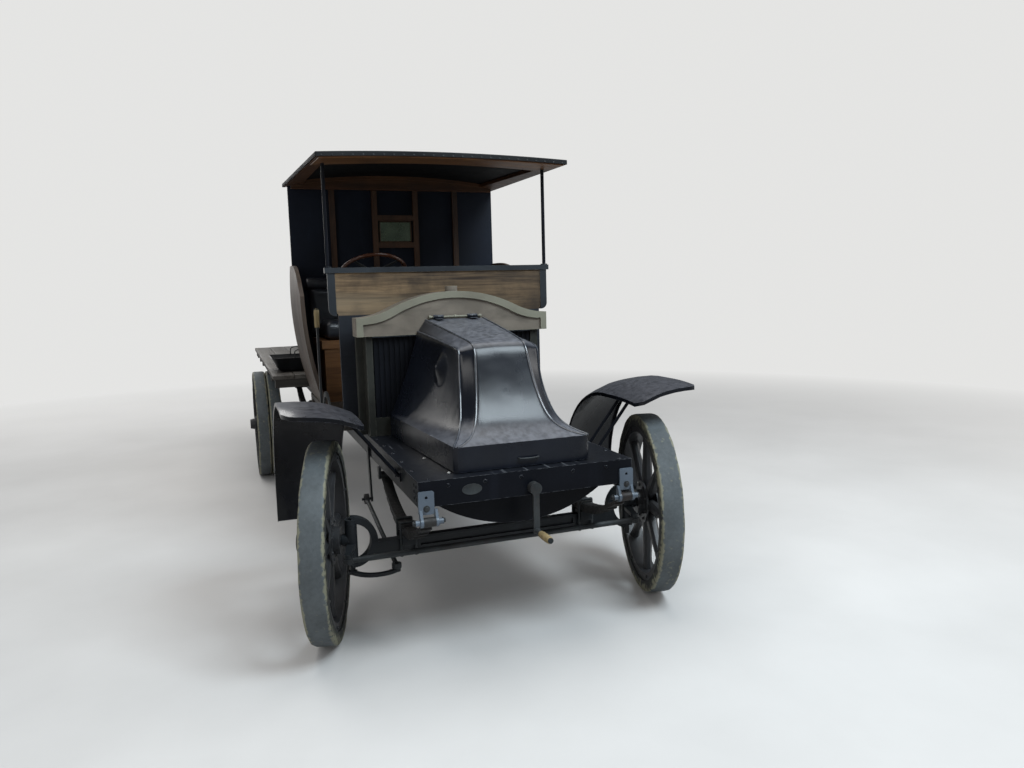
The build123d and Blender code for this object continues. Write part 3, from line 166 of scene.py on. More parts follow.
class Finish(Bench):
    """A material under construction: a ground colour with layers over it."""

    def __init__(self, name, ground, rough=0.5, metallic=0.0, coat=0.0, shine=0.5):
        self.material = bpy.data.materials.new(name)
        self.material.use_nodes = True
        super().__init__(self.material.node_tree)
        self.shader = self.tree.nodes["Principled BSDF"]
        for socket, value in (("Roughness", rough), ("Metallic", metallic), ("Coat Weight", coat),
                              ("Specular IOR Level", shine)):
            self.shader.inputs[socket].default_value = value
        self.place = self.node("ShaderNodeTexCoord").outputs["Object"]
        self.shown = ground

    def times(self, first, second):
        """Both at once: high only where each of them is."""
        return self.sum_of("MULTIPLY", first, second)

    def plus(self, first, second):
        return self.sum_of("ADD", first, second)

    def stretched(self, scale, shift=(0, 0, 0)):
        """Object coordinates, squeezed along an axis so that a pattern runs long the other way."""
        return self.node("ShaderNodeMapping", Vector=self.place, Scale=scale, Location=shift).outputs[0]

    def noise(self, scale, detail=4.0, place=None, rough=0.55, distortion=0.0):
        """Soft clouds, about 1/scale metres across."""
        return self.node("ShaderNodeTexNoise", Vector=place or self.place, Scale=scale, Detail=detail,
                         Roughness=rough, Distortion=distortion).outputs[0]

    def cells(self, scale):
        """Distance to the nearest of many scattered points: chips and pores."""
        return self.node("ShaderNodeTexVoronoi", Vector=self.place, Scale=scale).outputs[0]

    def band(self, value, low, high, out_low=0.0, out_high=1.0):
        """Maps a value between two limits on to a new range, and holds it there."""
        return self.node("ShaderNodeMapRange", _0=value, _1=low, _2=high, _3=out_low, _4=out_high).outputs[0]

    def blend(self, share, first, second):
        """Colour that goes from the first to the second as share goes from 0 to 1."""
        made = self.tree.nodes.new("ShaderNodeMix")
        made.data_type = "RGBA"
        for index, value in ((0, share), (6, first), (7, second)):
            if isinstance(value, bpy.types.NodeSocket):
                self.tree.links.new(value, made.inputs[index])
            else:
                made.inputs[index].default_value = (*value, 1) if index else value
        return made.outputs[2]

    def layer(self, colour, share, *limits):
        """Lays a colour over the ones so far, as thickly as share, or share put in a band, says."""
        self.shown = self.blend(self.band(share, *limits) if limits else share, self.shown, colour)
        self.tree.links.new(self.shown, self.shader.inputs["Base Color"])

    def worn_in(self, name):
        """A value that was stored at the points of a piece."""
        made = self.tree.nodes.new("ShaderNodeAttribute")
        made.attribute_name = name
        return made.outputs["Fac"]

    def axis(self, name):
        """How far along X, Y or Z a point stands."""
        return self.node("ShaderNodeSeparateXYZ", Vector=self.place).outputs[name]

    def normal(self):
        return self.node("ShaderNodeNewGeometry").outputs["Normal"]

    def upward(self):
        """1 on a level top, 0 on an upright face: where dust settles."""
        return self.node("ShaderNodeSeparateXYZ", Vector=self.normal()).outputs["Z"]

    def edge_wear_and_glint(self, radius, gain=5.0):
        """1 on corners, from how far a rounded normal leans off the true one: corners that hands and cloths
        rub, and corners where some finishes lay a painted highlight.
        """
        round_normal = self.node("ShaderNodeBevel", Radius=radius)
        round_normal.samples = 4
        lean = self.node("ShaderNodeVectorMath", _0=round_normal.outputs[0], _1=self.normal())
        lean.operation = "DOT_PRODUCT"
        return self.times(self.sum_of("SUBTRACT", 1.0, lean.outputs["Value"]), gain)

    def roughness(self, value, *limits):
        """Gloss that follows a pattern."""
        self.tree.links.new(self.band(value, *limits), self.shader.inputs["Roughness"])

    def bump(self, height, distance, strength, under=None):
        """Relief of a given depth in metres, laid over an earlier relief."""
        made = self.node("ShaderNodeBump", Height=height, Distance=distance, Strength=strength)
        if under:
            self.tree.links.new(under, made.inputs["Normal"])
        self.tree.links.new(made.outputs[0], self.shader.inputs["Normal"])
        return made.outputs[0]


def tinted(colour, factor):
    """A colour made lighter or darker."""
    return tuple(factor * c for c in colour)


print("workbench ready")

# %% [markdown]
# Old black paint is never one colour. It is bluish black where it is whole, greyer where dust has settled
# on the level faces, and bare iron grey on the rubbed edges. On the bonnet and its beads the grey of the
# level faces is partly a painted reflection of the pale hall, and the beads' pale edges are a painted
# highlight. Its gloss is uneven, from hands and rain. A painted picture of this would need unwrapping, so
# the dirt and the painted reflection and highlight are worked out from each face's own direction.

# %% Paint
RUST, RUBBED_IRON = (0.060, 0.026, 0.011), (0.10, 0.102, 0.105)


def paint(name, dark, dusty, rough=(0.3, 0.55), dust_and_sheen=0.4, edge=0.003, bare_and_glint=(0.075, 0.078, 0.082), shine=0.22,
          dents=0.08, wear_and_glint=0.7, scratched=0.0):
    """Worn paint over metal: dust on level faces and bare metal on rubbed edges; the pale level faces of the
    bonnet and its beads are partly a painted reflection, and the beads' pale edges a painted highlight.
    """
    finish = Finish(name, dark, shine=shine)
    cloud, fine = finish.noise(2.2, 5.0), finish.noise(38.0, 5.0)
    finish.layer(tinted(dark, 2.0), cloud, 0.35, 0.68)
    # Dust on the level faces; on the bonnet and its beads this pale layer is partly a painted reflection.
    dust_and_sheen_share = finish.times(finish.band(finish.upward(), 0.6, 0.97, 0.0, dust_and_sheen),
                           finish.band(fine, 0.3, 0.62, 0.35, 1.0))
    finish.layer(dusty, dust_and_sheen_share)
    streak = finish.noise(9.0, 4.0, finish.stretched((1, 1, 0.16)))
    finish.layer(tinted(dark, 4.0), streak, 0.58, 0.78, 0.0, 0.4)
    if scratched:
        lines = finish.band(finish.noise(42.0, 6.0, finish.stretched((0.05, 1, 1))), 0.60, 0.72, 0.0, scratched)
        lines = finish.times(lines, finish.band(finish.upward(), 0.8, 0.95))
        finish.layer(bare_and_glint, finish.times(lines, finish.band(cloud, 0.4, 0.6)))
    # Rubbed edges in the bare colour; on the bonnet's beads this pale edge is a painted highlight.
    rubbed_and_highlit = finish.times(finish.edge_wear_and_glint(edge), finish.band(fine, 0.42, 0.6))
    finish.layer(bare_and_glint, rubbed_and_highlit, 0.18, 0.6, 0.0, wear_and_glint)
    finish.roughness(finish.plus(cloud, finish.times(dust_and_sheen_share, 0.5)), 0.35, 0.95, *rough)
    wave = finish.bump(finish.noise(5.0, 2.0), 0.02, dents)
    finish.bump(fine, 0.0005, 0.3, wave)
    return finish.material


def iron(name, dark, light, rust=0.25, rough=(0.45, 0.75)):
    """Oiled or bare iron with a little rust."""
    finish = Finish(name, dark, metallic=0.2, shine=0.35)
    cloud, fine = finish.noise(7.0, 6.0), finish.noise(70.0, 4.0)
    finish.layer(light, cloud, 0.35, 0.7)
    rusty = finish.band(finish.noise(4.0, 8.0), 0.52, 0.7, 0.0, rust)
    finish.layer(RUST, finish.times(rusty, finish.band(fine, 0.35, 0.6)))
    finish.layer(RUBBED_IRON, finish.edge_wear_and_glint(0.003), 0.2, 0.7, 0.0, 0.35)
    finish.roughness(fine, 0.3, 0.7, *rough)
    finish.bump(fine, 0.0008, 0.5)
    return finish.material


BLACK = paint("black_paint", (0.0024, 0.0029, 0.0045), (0.014, 0.016, 0.020), shine=0.09, scratched=1.0,
              bare_and_glint=(0.15, 0.158, 0.172))
# Bonnet: the pale blue-grey on its level faces is partly dust and partly a painted reflection of the hall.
BONNET_BLACK = paint("bonnet_black", (0.0034, 0.0044, 0.0074), (0.118, 0.123, 0.140), rough=(0.24, 0.40),
                     dust_and_sheen=0.85, edge=0.004, bare_and_glint=(0.09, 0.10, 0.12), shine=0.3, dents=0.18, wear_and_glint=0.4)
# Beads: the pale blue on their edges is a painted highlight, and the blue-grey on their level faces is partly a
# painted reflection.
BEAD_BLACK = paint("bead_black", (0.014, 0.017, 0.023), (0.095, 0.103, 0.120), rough=(0.2, 0.34), edge=0.004,
                   bare_and_glint=(0.17, 0.185, 0.21), shine=0.6, wear_and_glint=0.9)
GUARD_BLACK = paint("guard_black", (0.0024, 0.0028, 0.0043), (0.070, 0.071, 0.083), rough=(0.22, 0.44),
                    dust_and_sheen=0.6, bare_and_glint=(0.10, 0.105, 0.12), shine=0.24, dents=0.3)
FRAME_BLACK = paint("frame_black", (0.0056, 0.0070, 0.0086), (0.024, 0.027, 0.029), rough=(0.36, 0.62))
WHEEL_BLACK = paint("wheel_black", (0.0120, 0.0123, 0.0135), (0.040, 0.040, 0.041), rough=(0.38, 0.6),
                    dust_and_sheen=0.3, shine=0.35)
TRAY_BLACK = paint("tray_black", (0.0050, 0.0052, 0.0060), (0.018, 0.018, 0.018))
RAIL_GREY = paint("dash_rail_grey", (0.0105, 0.0125, 0.0150), (0.045, 0.048, 0.050), rough=(0.42, 0.62),
                  dust_and_sheen=0.5, bare_and_glint=(0.10, 0.105, 0.10))
WALL_BLUE = paint("wall_blue_black", (0.0030, 0.0045, 0.0085), (0.0085, 0.0115, 0.0180), rough=(0.45, 0.65),
                  edge=0.002, shine=0.15, wear_and_glint=0.3)
CORE_BLACK = paint("core_black", (0.0022, 0.0026, 0.0040), (0.0085, 0.0100, 0.0135), rough=(0.5, 0.7),
                   shine=0.12, edge=0.001, wear_and_glint=0.2)
PLATE_GREY = paint("plate_grey", (0.048, 0.062, 0.080), (0.110, 0.128, 0.150), rough=(0.34, 0.55),
                   edge=0.002, bare_and_glint=(0.02, 0.02, 0.02), shine=0.45)
IRON = iron("bare_iron", (0.011, 0.0135, 0.0155), (0.034, 0.038, 0.040))
ENGINE_IRON = iron("engine_iron", (0.020, 0.019, 0.018), (0.045, 0.042, 0.040))
BRIGHT = iron("bright_steel", (0.30, 0.30, 0.29), (0.50, 0.50, 0.48), rust=0.05, rough=(0.25, 0.4))
SPRING_IRON = iron("spring_iron", (0.009, 0.009, 0.010), (0.026, 0.025, 0.024), rust=0.35)
print("paints:", [m.name for m in bpy.data.materials])

# %% [markdown]
# The header tank and the radiator's frame are a greyish olive, faded, and laid pale on the proud edges as a
# painted highlight. The tank's front band is the palest. It could be a material of its own, but the fade is
# soft, so the one finish takes its colour from how far forward a point stands.

# %% Faded olive
TANK_FACE_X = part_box("header_tank")[1].x - 0.012


def olive(name, dark, pale, band_x=None):
    """Faded paint, palest ahead of band_x, with a painted highlight on its edges."""
    finish = Finish(name, dark, shine=0.3)
    cloud, fine = finish.noise(3.0, 6.0), finish.noise(45.0, 6.0)
    finish.layer(tinted(dark, 1.7), cloud, 0.35, 0.65)
    run = finish.noise(14.0, 8.0, finish.stretched((1, 0.3, 1)))
    finish.layer(tinted(dark, 0.45), run, 0.5, 0.72, 0.0, 0.6)
    if band_x is not None:
        proud = finish.band(finish.axis("X"), band_x - 0.001, band_x + 0.004)
        finish.layer(pale, finish.times(proud, finish.band(cloud, 0.2, 0.6, 0.35, 1.0)))
    # Painted highlight: the edges are laid pale, as where light catches them.
    rubbed_and_highlit = finish.times(finish.edge_wear_and_glint(0.006), finish.band(fine, 0.38, 0.6))
    finish.layer(tinted(pale, 1.3), rubbed_and_highlit, 0.12, 0.5, 0.0, 0.9)
    finish.roughness(cloud, 0.3, 0.7, 0.42, 0.68)
    finish.bump(fine, 0.001, 0.5)
    return finish.material


TANK_OLIVE = olive("tank_olive", (0.116, 0.099, 0.080), (0.172, 0.170, 0.130), TANK_FACE_X)
POST_OLIVE = olive("post_olive", (0.013, 0.0135, 0.011), (0.056, 0.056, 0.046))
print("olive band starts at x =", round(TANK_FACE_X, 3))

# %% [markdown]
# Wood grain could be a wave of rings, but old boards show no neat rings, only long dark and light fibres. A
# noise drawn out along the board gives those. The long axis of the grain is a setting, because a dash plank
# runs across the truck and a bed board along it. Stains and rubbed edges lie over the grain.

# %% Wood
SQUEEZE = {"X": (0.05, 1, 1), "Y": (1, 0.05, 1), "Z": (1, 1, 0.05)}
STAIN = (0.012, 0.008, 0.006)
OLD_BLUE, WORN_BLUE = (0.0045, 0.0062, 0.0105), (0.012, 0.015, 0.021)
DASH_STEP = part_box("dash_frame")[0].z


def wood(name, dark, light, along="Y", stained=0.6, grey=None, rough=(0.45, 0.7), painted_below=None,
         boards=False, darker_left=0.0):
    """Grain along one axis; painted_below is a height under which the wood is painted blue-black."""
    finish = Finish(name, dark, shine=0.3)
    shift = finish.times(finish.worn_in("board"), 7.0) if boards else (0, 0, 0)
    grain = finish.noise(70.0, 8.0, finish.stretched(SQUEEZE[along], shift), 0.62, 0.4)
    figure = finish.noise(11.0, 4.0, finish.stretched(SQUEEZE[along], shift), 0.5, 1.2)
    blot = finish.noise(3.4, 6.0)
    finish.layer(light, finish.plus(finish.times(grain, 0.55), finish.times(figure, 0.45)), 0.36, 0.62)
    if boards:
        finish.layer(tinted(dark, 0.6), finish.worn_in("board"), 0, 1, 0.0, 0.5)
    finish.layer(STAIN, blot, 0.5, 0.72, 0.0, stained)
    if grey:
        finish.layer(grey, finish.noise(6.0, 8.0, finish.stretched(SQUEEZE[along])), 0.5, 0.68, 0.0, 0.75)
    # Darker towards the truck's left, in patches.
    if darker_left:
        leftward_share = finish.band(finish.axis("Y"), -0.25, 0.55, 0.0, darker_left)
        finish.layer(STAIN, finish.times(leftward_share, finish.band(finish.noise(5.0, 6.0), 0.3, 0.6, 0.3, 1.0)))
    finish.layer(tinted(light, 1.5), finish.edge_wear_and_glint(0.004), 0.15, 0.7, 0.0, 0.6)
    if painted_below:
        painted = finish.blend(finish.band(blot, 0.35, 0.7), OLD_BLUE, WORN_BLUE)
        finish.layer(painted, finish.axis("Z"), painted_below - 0.001, painted_below + 0.001, 1.0, 0.0)
    finish.roughness(grain, 0.3, 0.7, *rough)
    finish.bump(grain, 0.0012, 0.6)
    return finish.material


DASH_WOOD = wood("dash_wood", (0.026, 0.015, 0.008), (0.215, 0.142, 0.076), stained=0.95,
                 grey=(0.160, 0.126, 0.084), painted_below=DASH_STEP, darker_left=0.75)
BROWN_ACROSS = wood("brown_wood_across", (0.020, 0.0085, 0.0035), (0.072, 0.029, 0.010), rough=(0.35, 0.55))
# Painted light: the front soffit board is the roof's brown wood laid lighter, for the light that reaches the
# front of the roof's underside.
LIT_SOFFIT_WOOD = wood("soffit_wood_lit", (0.060, 0.026, 0.010), (0.150, 0.068, 0.025), stained=0.5, rough=(0.35, 0.55))
SEAT_WOOD = wood("seat_box_wood", (0.050, 0.022, 0.009), (0.142, 0.065, 0.024), stained=0.4, rough=(0.4, 0.6))
BROWN_UPRIGHT = wood("brown_wood_upright", (0.016, 0.008, 0.004), (0.052, 0.024, 0.011), "Z", rough=(0.4, 0.6))
BROWN_ALONG = wood("brown_wood_along", (0.024, 0.014, 0.009), (0.070, 0.046, 0.031), "Z",
                   grey=(0.060, 0.052, 0.046))
BED_WOOD = wood("bed_wood", (0.024, 0.021, 0.018), (0.082, 0.074, 0.064), "X", grey=(0.095, 0.091, 0.084),
                boards=True)
FLOOR_WOOD = wood("floor_wood", (0.020, 0.017, 0.014), (0.062, 0.055, 0.047), "X")
BEARER_WOOD = wood("bearer_wood", (0.011, 0.010, 0.009), (0.032, 0.029, 0.025))
RIM_WOOD = wood("rim_wood", (0.018, 0.0065, 0.004), (0.050, 0.018, 0.009), rough=(0.18, 0.32))
GRIP_WOOD = wood("grip_wood", (0.130, 0.095, 0.045), (0.260, 0.200, 0.100), "Z", stained=0.3)
print("woods ready")

# %% [markdown]
# Solid rubber greys with age: the tread is pale and scuffed, and the flanks keep chips and a yellowish
# bloom. Leather is told by its creases, canvas by its weave and old glass by its dust, so each gets a
# relief of its own and not only a colour. The floor fades into the backdrop, so that no horizon shows.

# %% Rubber, leather, cloth, glass and floor
THREAD = 0.0022
NICK = (0.010, 0.010, 0.009)


def rubber(name, flank, tread, chipped):
    """Old solid rubber; the values tread and shoulder are stored at the points of each tyre."""
    finish = Finish(name, flank, rough=0.8, shine=0.25)
    on_tread, on_shoulder = finish.worn_in("tread"), finish.worn_in("shoulder")
    cloud, fine = finish.noise(6.0, 8.0), finish.noise(110.0, 6.0)
    finish.layer(tread, on_tread, 0.35, 0.65)
    finish.layer(tuple(0.5 * (a + b) for a, b in zip(flank, tread)), cloud, 0.4, 0.65, 0.0, 0.35)
    finish.layer(tinted(flank, 0.8), finish.noise(60.0, 8.0), 0.40, 0.70, 0.0, 0.22)
    dusty = finish.band(finish.noise(9.0, 5.0), 0.46, 0.72, 0.0, 0.3)
    finish.layer(tinted(tread, 1.6), finish.times(dusty, on_tread))
    scuffed = finish.plus(on_shoulder, finish.band(finish.noise(46.0, 6.0), 0.3, 0.7, -0.65, 0.6))
    scuffed = finish.plus(scuffed, finish.band(finish.noise(5.0, 3.0), 0.35, 0.65, -0.3, 0.25))
    finish.layer(chipped, scuffed, 0.40, 0.95, 0.0, 0.75)
    nicked = finish.band(finish.cells(34.0), 0.06, 0.12, 0.75, 0.0)
    finish.layer(NICK, finish.times(nicked, on_shoulder))
    finish.roughness(cloud, 0.3, 0.7, 0.6, 0.88)
    finish.bump(fine, 0.0012, 0.6, finish.bump(cloud, 0.004, 0.35))
    return finish.material


def leather(name, dark, light):
    """Soft leather with long creases and fine pores."""
    finish = Finish(name, dark, coat=0.25)
    finish.layer(light, finish.noise(6.0, 4.0), 0.35, 0.7)
    crease = finish.noise(24.0, 8.0, finish.stretched((1, 0.35, 1)), 0.6, 1.5)
    finish.roughness(crease, 0.3, 0.7, 0.26, 0.52)
    finish.bump(finish.cells(520.0), 0.0004, 0.5, finish.bump(crease, 0.003, 0.5))
    return finish.material


def canvas(name, dark, light):
    """Painted canvas: the weave still shows through the paint."""
    finish = Finish(name, dark, rough=0.75, shine=0.12)
    weave = finish.times(*(finish.sum_of("SINE", finish.times(finish.axis(axis), 2 * pi / THREAD))
                           for axis in "XY"))
    cloud = finish.noise(3.0, 7.0)
    finish.layer(light, cloud, 0.35, 0.68)
    finish.layer(tinted(dark, 0.6), weave, -1, 1, 0.0, 0.2)
    # Painted shade: the side that faces down is laid darker, as shade under the roof
    finish.layer(tinted(dark, 0.25), finish.upward(), -0.6, -0.2, 1.0, 0.0)
    finish.roughness(cloud, 0.3, 0.7, 0.6, 0.85)
    finish.bump(weave, 0.0003, 0.4, finish.bump(cloud, 0.006, 0.4))
    return finish.material


def pane(name):
    """Old green glass, dusty and a little wavy."""
    finish = Finish(name, (0.022, 0.034, 0.020), rough=0.12)
    finish.shader.inputs["Transmission Weight"].default_value = 0.6
    finish.shader.inputs["IOR"].default_value = 1.5
    finish.layer((0.046, 0.064, 0.040), finish.noise(8.0, 6.0), 0.35, 0.7)
    finish.roughness(finish.noise(14.0, 6.0), 0.4, 0.7, 0.08, 0.4)
    finish.bump(finish.noise(12.0, 2.0), 0.002, 0.3)
    return finish.material


def pale_floor(reach=3.6, fade=5.5):
    """A floor that glows as the backdrop does from reach outwards, for the camera only."""
    finish = Finish("floor_pale", (0.46, 0.45, 0.44), rough=0.75, shine=0.2)
    finish.layer((0.52, 0.51, 0.50), finish.noise(0.8, 6.0), 0.3, 0.7)
    finish.bump(finish.noise(60.0, 4.0), 0.0006, 0.3)
    away = finish.node("ShaderNodeVectorMath", _0=finish.place)
    away.operation = "LENGTH"
    far = finish.band(away.outputs["Value"], reach, reach + fade)
    far = finish.times(far, finish.node("ShaderNodeLightPath").outputs["Is Camera Ray"])
    glow = finish.node("ShaderNodeEmission", Color=BACKDROP, Strength=1.0)
    mix = finish.node("ShaderNodeMixShader", _0=far, _1=finish.shader.outputs[0], _2=glow.outputs[0])
    finish.tree.links.new(mix.outputs[0], finish.tree.nodes["Material Output"].inputs["Surface"])
    return finish.material


TYRE = rubber("tyre_rubber", (0.018, 0.018, 0.016), (0.076, 0.087, 0.093), (0.200, 0.192, 0.132))
LEATHER = leather("seat_leather", (0.0040, 0.0048, 0.0075), (0.0095, 0.0110, 0.0155))
CANVAS = canvas("roof_canvas", (0.0070, 0.0075, 0.0085), (0.020, 0.021, 0.022))
PANE = pane("window_pane")
floor.data.materials.append(pale_floor())
print("materials:", len(bpy.data.materials))

# %% [markdown]
# The world gives the even, slightly cool fill of a white hall. If it were simply bright enough to make a
# white background, it would wash the black paint out. So Light Path splits it: the camera and the glass see
# the pale backdrop, and the truck is lit by a dimmer hall.

# %% World
HALL_TINT = (0.88, 0.94, 1.0, 1)


def white_hall(fill=0.38, mirrored=0.16):
    """Even light from all round; glossy paint mirrors a dimmer hall than the one that lights it."""
    world = bpy.data.worlds.new("white_hall")
    bpy.context.scene.world = world
    world.use_nodes = True
    hall = Bench(world.node_tree)
    hall.tree.nodes.clear()
    path = hall.node("ShaderNodeLightPath")
    seen = hall.sum_of("MAXIMUM", path.outputs["Is Camera Ray"], path.outputs["Is Transmission Ray"])
    dim = hall.node("ShaderNodeMapRange", _0=path.outputs["Is Glossy Ray"], _3=fill, _4=mirrored)
    light = hall.node("ShaderNodeBackground", _0=HALL_TINT, _1=dim.outputs[0])
    backdrop = hall.node("ShaderNodeBackground", _0=BACKDROP, _1=1.0)
    mix = hall.node("ShaderNodeMixShader", _0=seen, _1=light.outputs[0], _2=backdrop.outputs[0])
    hall.node("ShaderNodeOutputWorld", _0=mix.outputs[0])


white_hall()
print("world:", bpy.context.scene.world.name)

# %% [markdown]
# Every node of the frame gets its finish by name. This could be done piece by piece, but one table, read
# from the front of the truck to its back, is easy to check. Nodes that a new piece replaces are in it too.

# %% Dress the nodes
NODE_FINISHES = {
    BLACK: "front_deck canopy_posts mudguard_stays engine_undertray",
    BONNET_BLACK: "bonnet",
    GUARD_BLACK: "front_mudguards",
    FRAME_BLACK: "chassis_frame front_axle rear_axle knuckle_left knuckle_right steering_column drop_arm",
    SPRING_IRON: "leaf_springs",
    IRON: "starting_crank tie_rod drag_link driver_controls",
    ENGINE_IRON: "engine_block",
    CORE_BLACK: "radiator_core",
    PLATE_GREY: "frame_end_plates",
    TANK_OLIVE: "header_tank",
    POST_OLIVE: "radiator_frame",
    RAIL_GREY: "dash_frame",
    DASH_WOOD: "dash_panel",
    BROWN_ACROSS: "roof_bows",
    SEAT_WOOD: "seat_box",
    BROWN_UPRIGHT: "wall_battens",
    BROWN_ALONG: "side_panels",
    WALL_BLUE: "cab_rear_wall",
    BED_WOOD: "bed_deck",
    FLOOR_WOOD: "cab_floor",
    BEARER_WOOD: "bed_bearers",
    RIM_WOOD: "steering_wheel",
    WHEEL_BLACK: "front_wheel_left front_wheel_right rear_wheel_left rear_wheel_right",
    TYRE: "front_tyre_left front_tyre_right rear_tyre_left rear_tyre_right",
    LEATHER: "seat_cushion seat_back",
    CANVAS: "roof_canopy",
    TRAY_BLACK: "stowage_tray",
    PANE: "window_glass",
}


def dress_nodes():
    """Gives every node its finish, and returns how many there were."""
    dressed = {name: finish for finish, names in NODE_FINISHES.items() for name in names.split()}
    for name, finish in dressed.items():
        slots = frame["nodes"][name].data.materials
        slots.clear()
        slots.append(finish)
    return len(dressed)


print("dressed nodes:", dress_nodes())

# %% [markdown]
# Every new piece starts as one of Blender's primitives and is shaped as one would by hand: go into edit mode,
# select some faces or edges, and extrude, bevel or spin them. A few small helpers do what a mouse does. They
# add a primitive with nothing else selected, select by place, apply a modifier, and finish a piece: its place
# goes into its mesh, it gets its finish, and it is fixed to the body that it moves with.

# %% Hands
BOTH = (1, -1)  # left and right, or front and back


def only(piece=None):
    """Leaves edit mode and selects one piece, or none."""
    if bpy.context.object and bpy.context.object.mode != "OBJECT":
        bpy.ops.object.mode_set(mode="OBJECT")
    bpy.ops.object.select_all(action="DESELECT")
    if piece:
        bpy.context.view_layer.objects.active = piece
        piece.select_set(True)


def begin(kind, name, **values):
    """Adds a primitive with nothing else selected, and gives it a name."""
    only()
    getattr(bpy.ops.mesh, f"primitive_{kind}_add")(**values)
    piece = bpy.context.object
    piece.name = name
    bpy.ops.object.transform_apply(location=True, rotation=True, scale=True)
    return piece


def edit(piece, action="DESELECT"):
    """Goes into edit mode in one piece, with nothing or everything in it selected."""
    only(piece)
    bpy.ops.object.mode_set(mode="EDIT")
    bpy.ops.mesh.select_all(action=action)


def pick(kind, test):
    """Selects the vertices, edges or faces that pass a test, which sees each one and its middle."""
    bpy.ops.mesh.select_mode(type=kind)
    bpy.ops.mesh.select_all(action="DESELECT")
    mesh = bmesh.from_edit_mesh(bpy.context.edit_object.data)
    for item in {"VERT": mesh.verts, "EDGE": mesh.edges, "FACE": mesh.faces}[kind]:
        corners = getattr(item, "verts", [item])
        if test(item, sum((v.co for v in corners), Vector()) / len(corners)):
            item.select_set(True)
    mesh.select_flush(True)
    bmesh.update_edit_mesh(bpy.context.edit_object.data)


def move_points(rule):
    """Moves every selected point to where a rule of its place says."""
    mesh = bmesh.from_edit_mesh(bpy.context.edit_object.data)
    for vertex in mesh.verts:
        if vertex.select:
            vertex.co = rule(vertex.co.copy())
    bmesh.update_edit_mesh(bpy.context.edit_object.data)


def outward(piece):
    """Merges doubles, then turns every face outwards."""
    edit(piece, "SELECT")
    bpy.ops.mesh.remove_doubles(threshold=0.00005)
    bpy.ops.mesh.normals_make_consistent(inside=False)
    only(piece)


def modify(piece, kind, **values):
    """Adds one modifier and applies it."""
    only(piece)
    modifier = piece.modifiers.new(kind.lower(), kind)
    for key, value in values.items():
        setattr(modifier, key, value)
    bpy.ops.object.modifier_apply(modifier=modifier.name)


def bar(name, middle, size, rounding, segments=2):
    """A straight bar with rounded edges."""
    piece = begin("cube", name, size=1, location=middle, scale=size)
    modify(piece, "BEVEL", width=rounding, segments=segments)
    return piece


def copy_of(piece, name, matrix):
    """A copy with its own mesh, turned and moved by a matrix."""
    twin = piece.copy()
    twin.data = piece.data.copy()
    twin.name = name
    bpy.context.collection.objects.link(twin)
    twin.data.transform(matrix)
    return twin


def join(pieces, name):
    """Joins several pieces into the first of them."""
    only(pieces[0])
    for piece in pieces:
        piece.select_set(True)
    if len(pieces) > 1:
        bpy.ops.object.join()
    pieces[0].name = name
    return pieces[0]


def scrap(*pieces):
    """Takes away patterns and tools that aren't part of the truck."""
    for piece in pieces:
        bpy.data.objects.remove(piece)


def settle(piece, finish, body, slot, *stands_for, angle=35):
    """Shades a piece, gives it its finish and fixes it to its body."""
    only(piece)
    bpy.ops.object.transform_apply(location=True, rotation=True, scale=True)
    if angle:
        bpy.ops.object.shade_smooth_by_angle(angle=radians(angle))
    piece.data.materials.clear()
    piece.data.materials.append(finish)
    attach(piece, body)
    if stands_for:
        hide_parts(*stands_for)
    print(piece.name, len(piece.data.polygons), "faces")
    return piece


print("hands ready")

# %% [markdown]
# The bonnet is the piece that everyone remembers: a steel scuttle, narrow at the front and wide at the dash,
# whose front and sides sweep out into a flat box. A grid gives its top. The grid's open edge is then
# extruded downwards ring by ring, and each new ring is set to the width and reach of the bonnet at that
# level. Subdivision turns the rings into sheet steel, and creases keep the pressed lines firm. On the right
# something tall on the engine needs room. A separate dome would show a hard rim, so the sheet itself is
# meshed finer there and pressed outwards. The beads are the pressed lines, copied off the sheet as wires.

# %% Bonnet
BONNET_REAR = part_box("bonnet")[0].x
BULGE_PLACE = Vector((FRONT_AXLE_X - 0.150, -0.2235, 1.180))
BULGE_WAY = Vector((0.10, -0.96, 0.26)).normalized()
BULGE_REACH, BULGE_HEIGHT = 0.088, 0.030
REAR_REACH = BONNET_REAR - FRONT_AXLE_X
BROW = 0.013  # how far the middle of the front edge stands forward
BONNET_TOP = [  # from the dash forwards: x from the axle; outer y and z; inner y and z; middle z
    (REAR_REACH, 0.208, 1.338, 0.164, 1.398, 1.402),
    (-0.350, 0.203, 1.322, 0.150, 1.366, 1.370),
    (-0.090, 0.197, 1.301, 0.136, 1.333, 1.338),
    (0.085, 0.190, 1.285, 0.122, 1.306, 1.312),
]
BONNET_RINGS = [  # height in front and at the dash, reach in front, half width in front and at the dash, corner
    (1.159, 1.226, 0.146, 0.194, 0.243, 0.058),
    (1.050, 1.085, 0.192, 0.207, 0.292, 0.055),
    (0.958, 0.968, 0.250, 0.228, 0.341, 0.050),
    (0.918, 0.922, 0.318, 0.266, 0.360, 0.040),
    (0.900, 0.900, 0.376, 0.309, 0.376, 0.012),
    (0.792, 0.792, 0.376, 0.309, 0.376, 0.012),
]


def arch(points, *crown):
    """A row of places, its crown if it has one, and the row's mirror image, back down the other side."""
    return [*points, *crown, *((x, -y, z) for x, y, z in reversed(points))]


def ring_points(level):
    """The points of one ring, from the dash on the left round the front to the dash on the right."""
    z_front, z_rear, reach, half_front, half_rear, corner = level
    left = [((reach - corner) * (1 - share) + REAR_REACH * share, half_front * (1 - share) + half_rear * share,
             z_front * (1 - share) + z_rear * share) for share in (1.0, 0.6, 0.2)]
    left += [(reach - corner, half_front, z_front), (reach, half_front - corner, z_front)]
    return [Vector((FRONT_AXLE_X + x, y, z)) for x, y, z in arch(left, (reach, 0.0, z_front))]


def edges_along(points):
    """The edges between neighbours in a row of points."""
    return {frozenset(pair) for pair in zip(points, points[1:])}


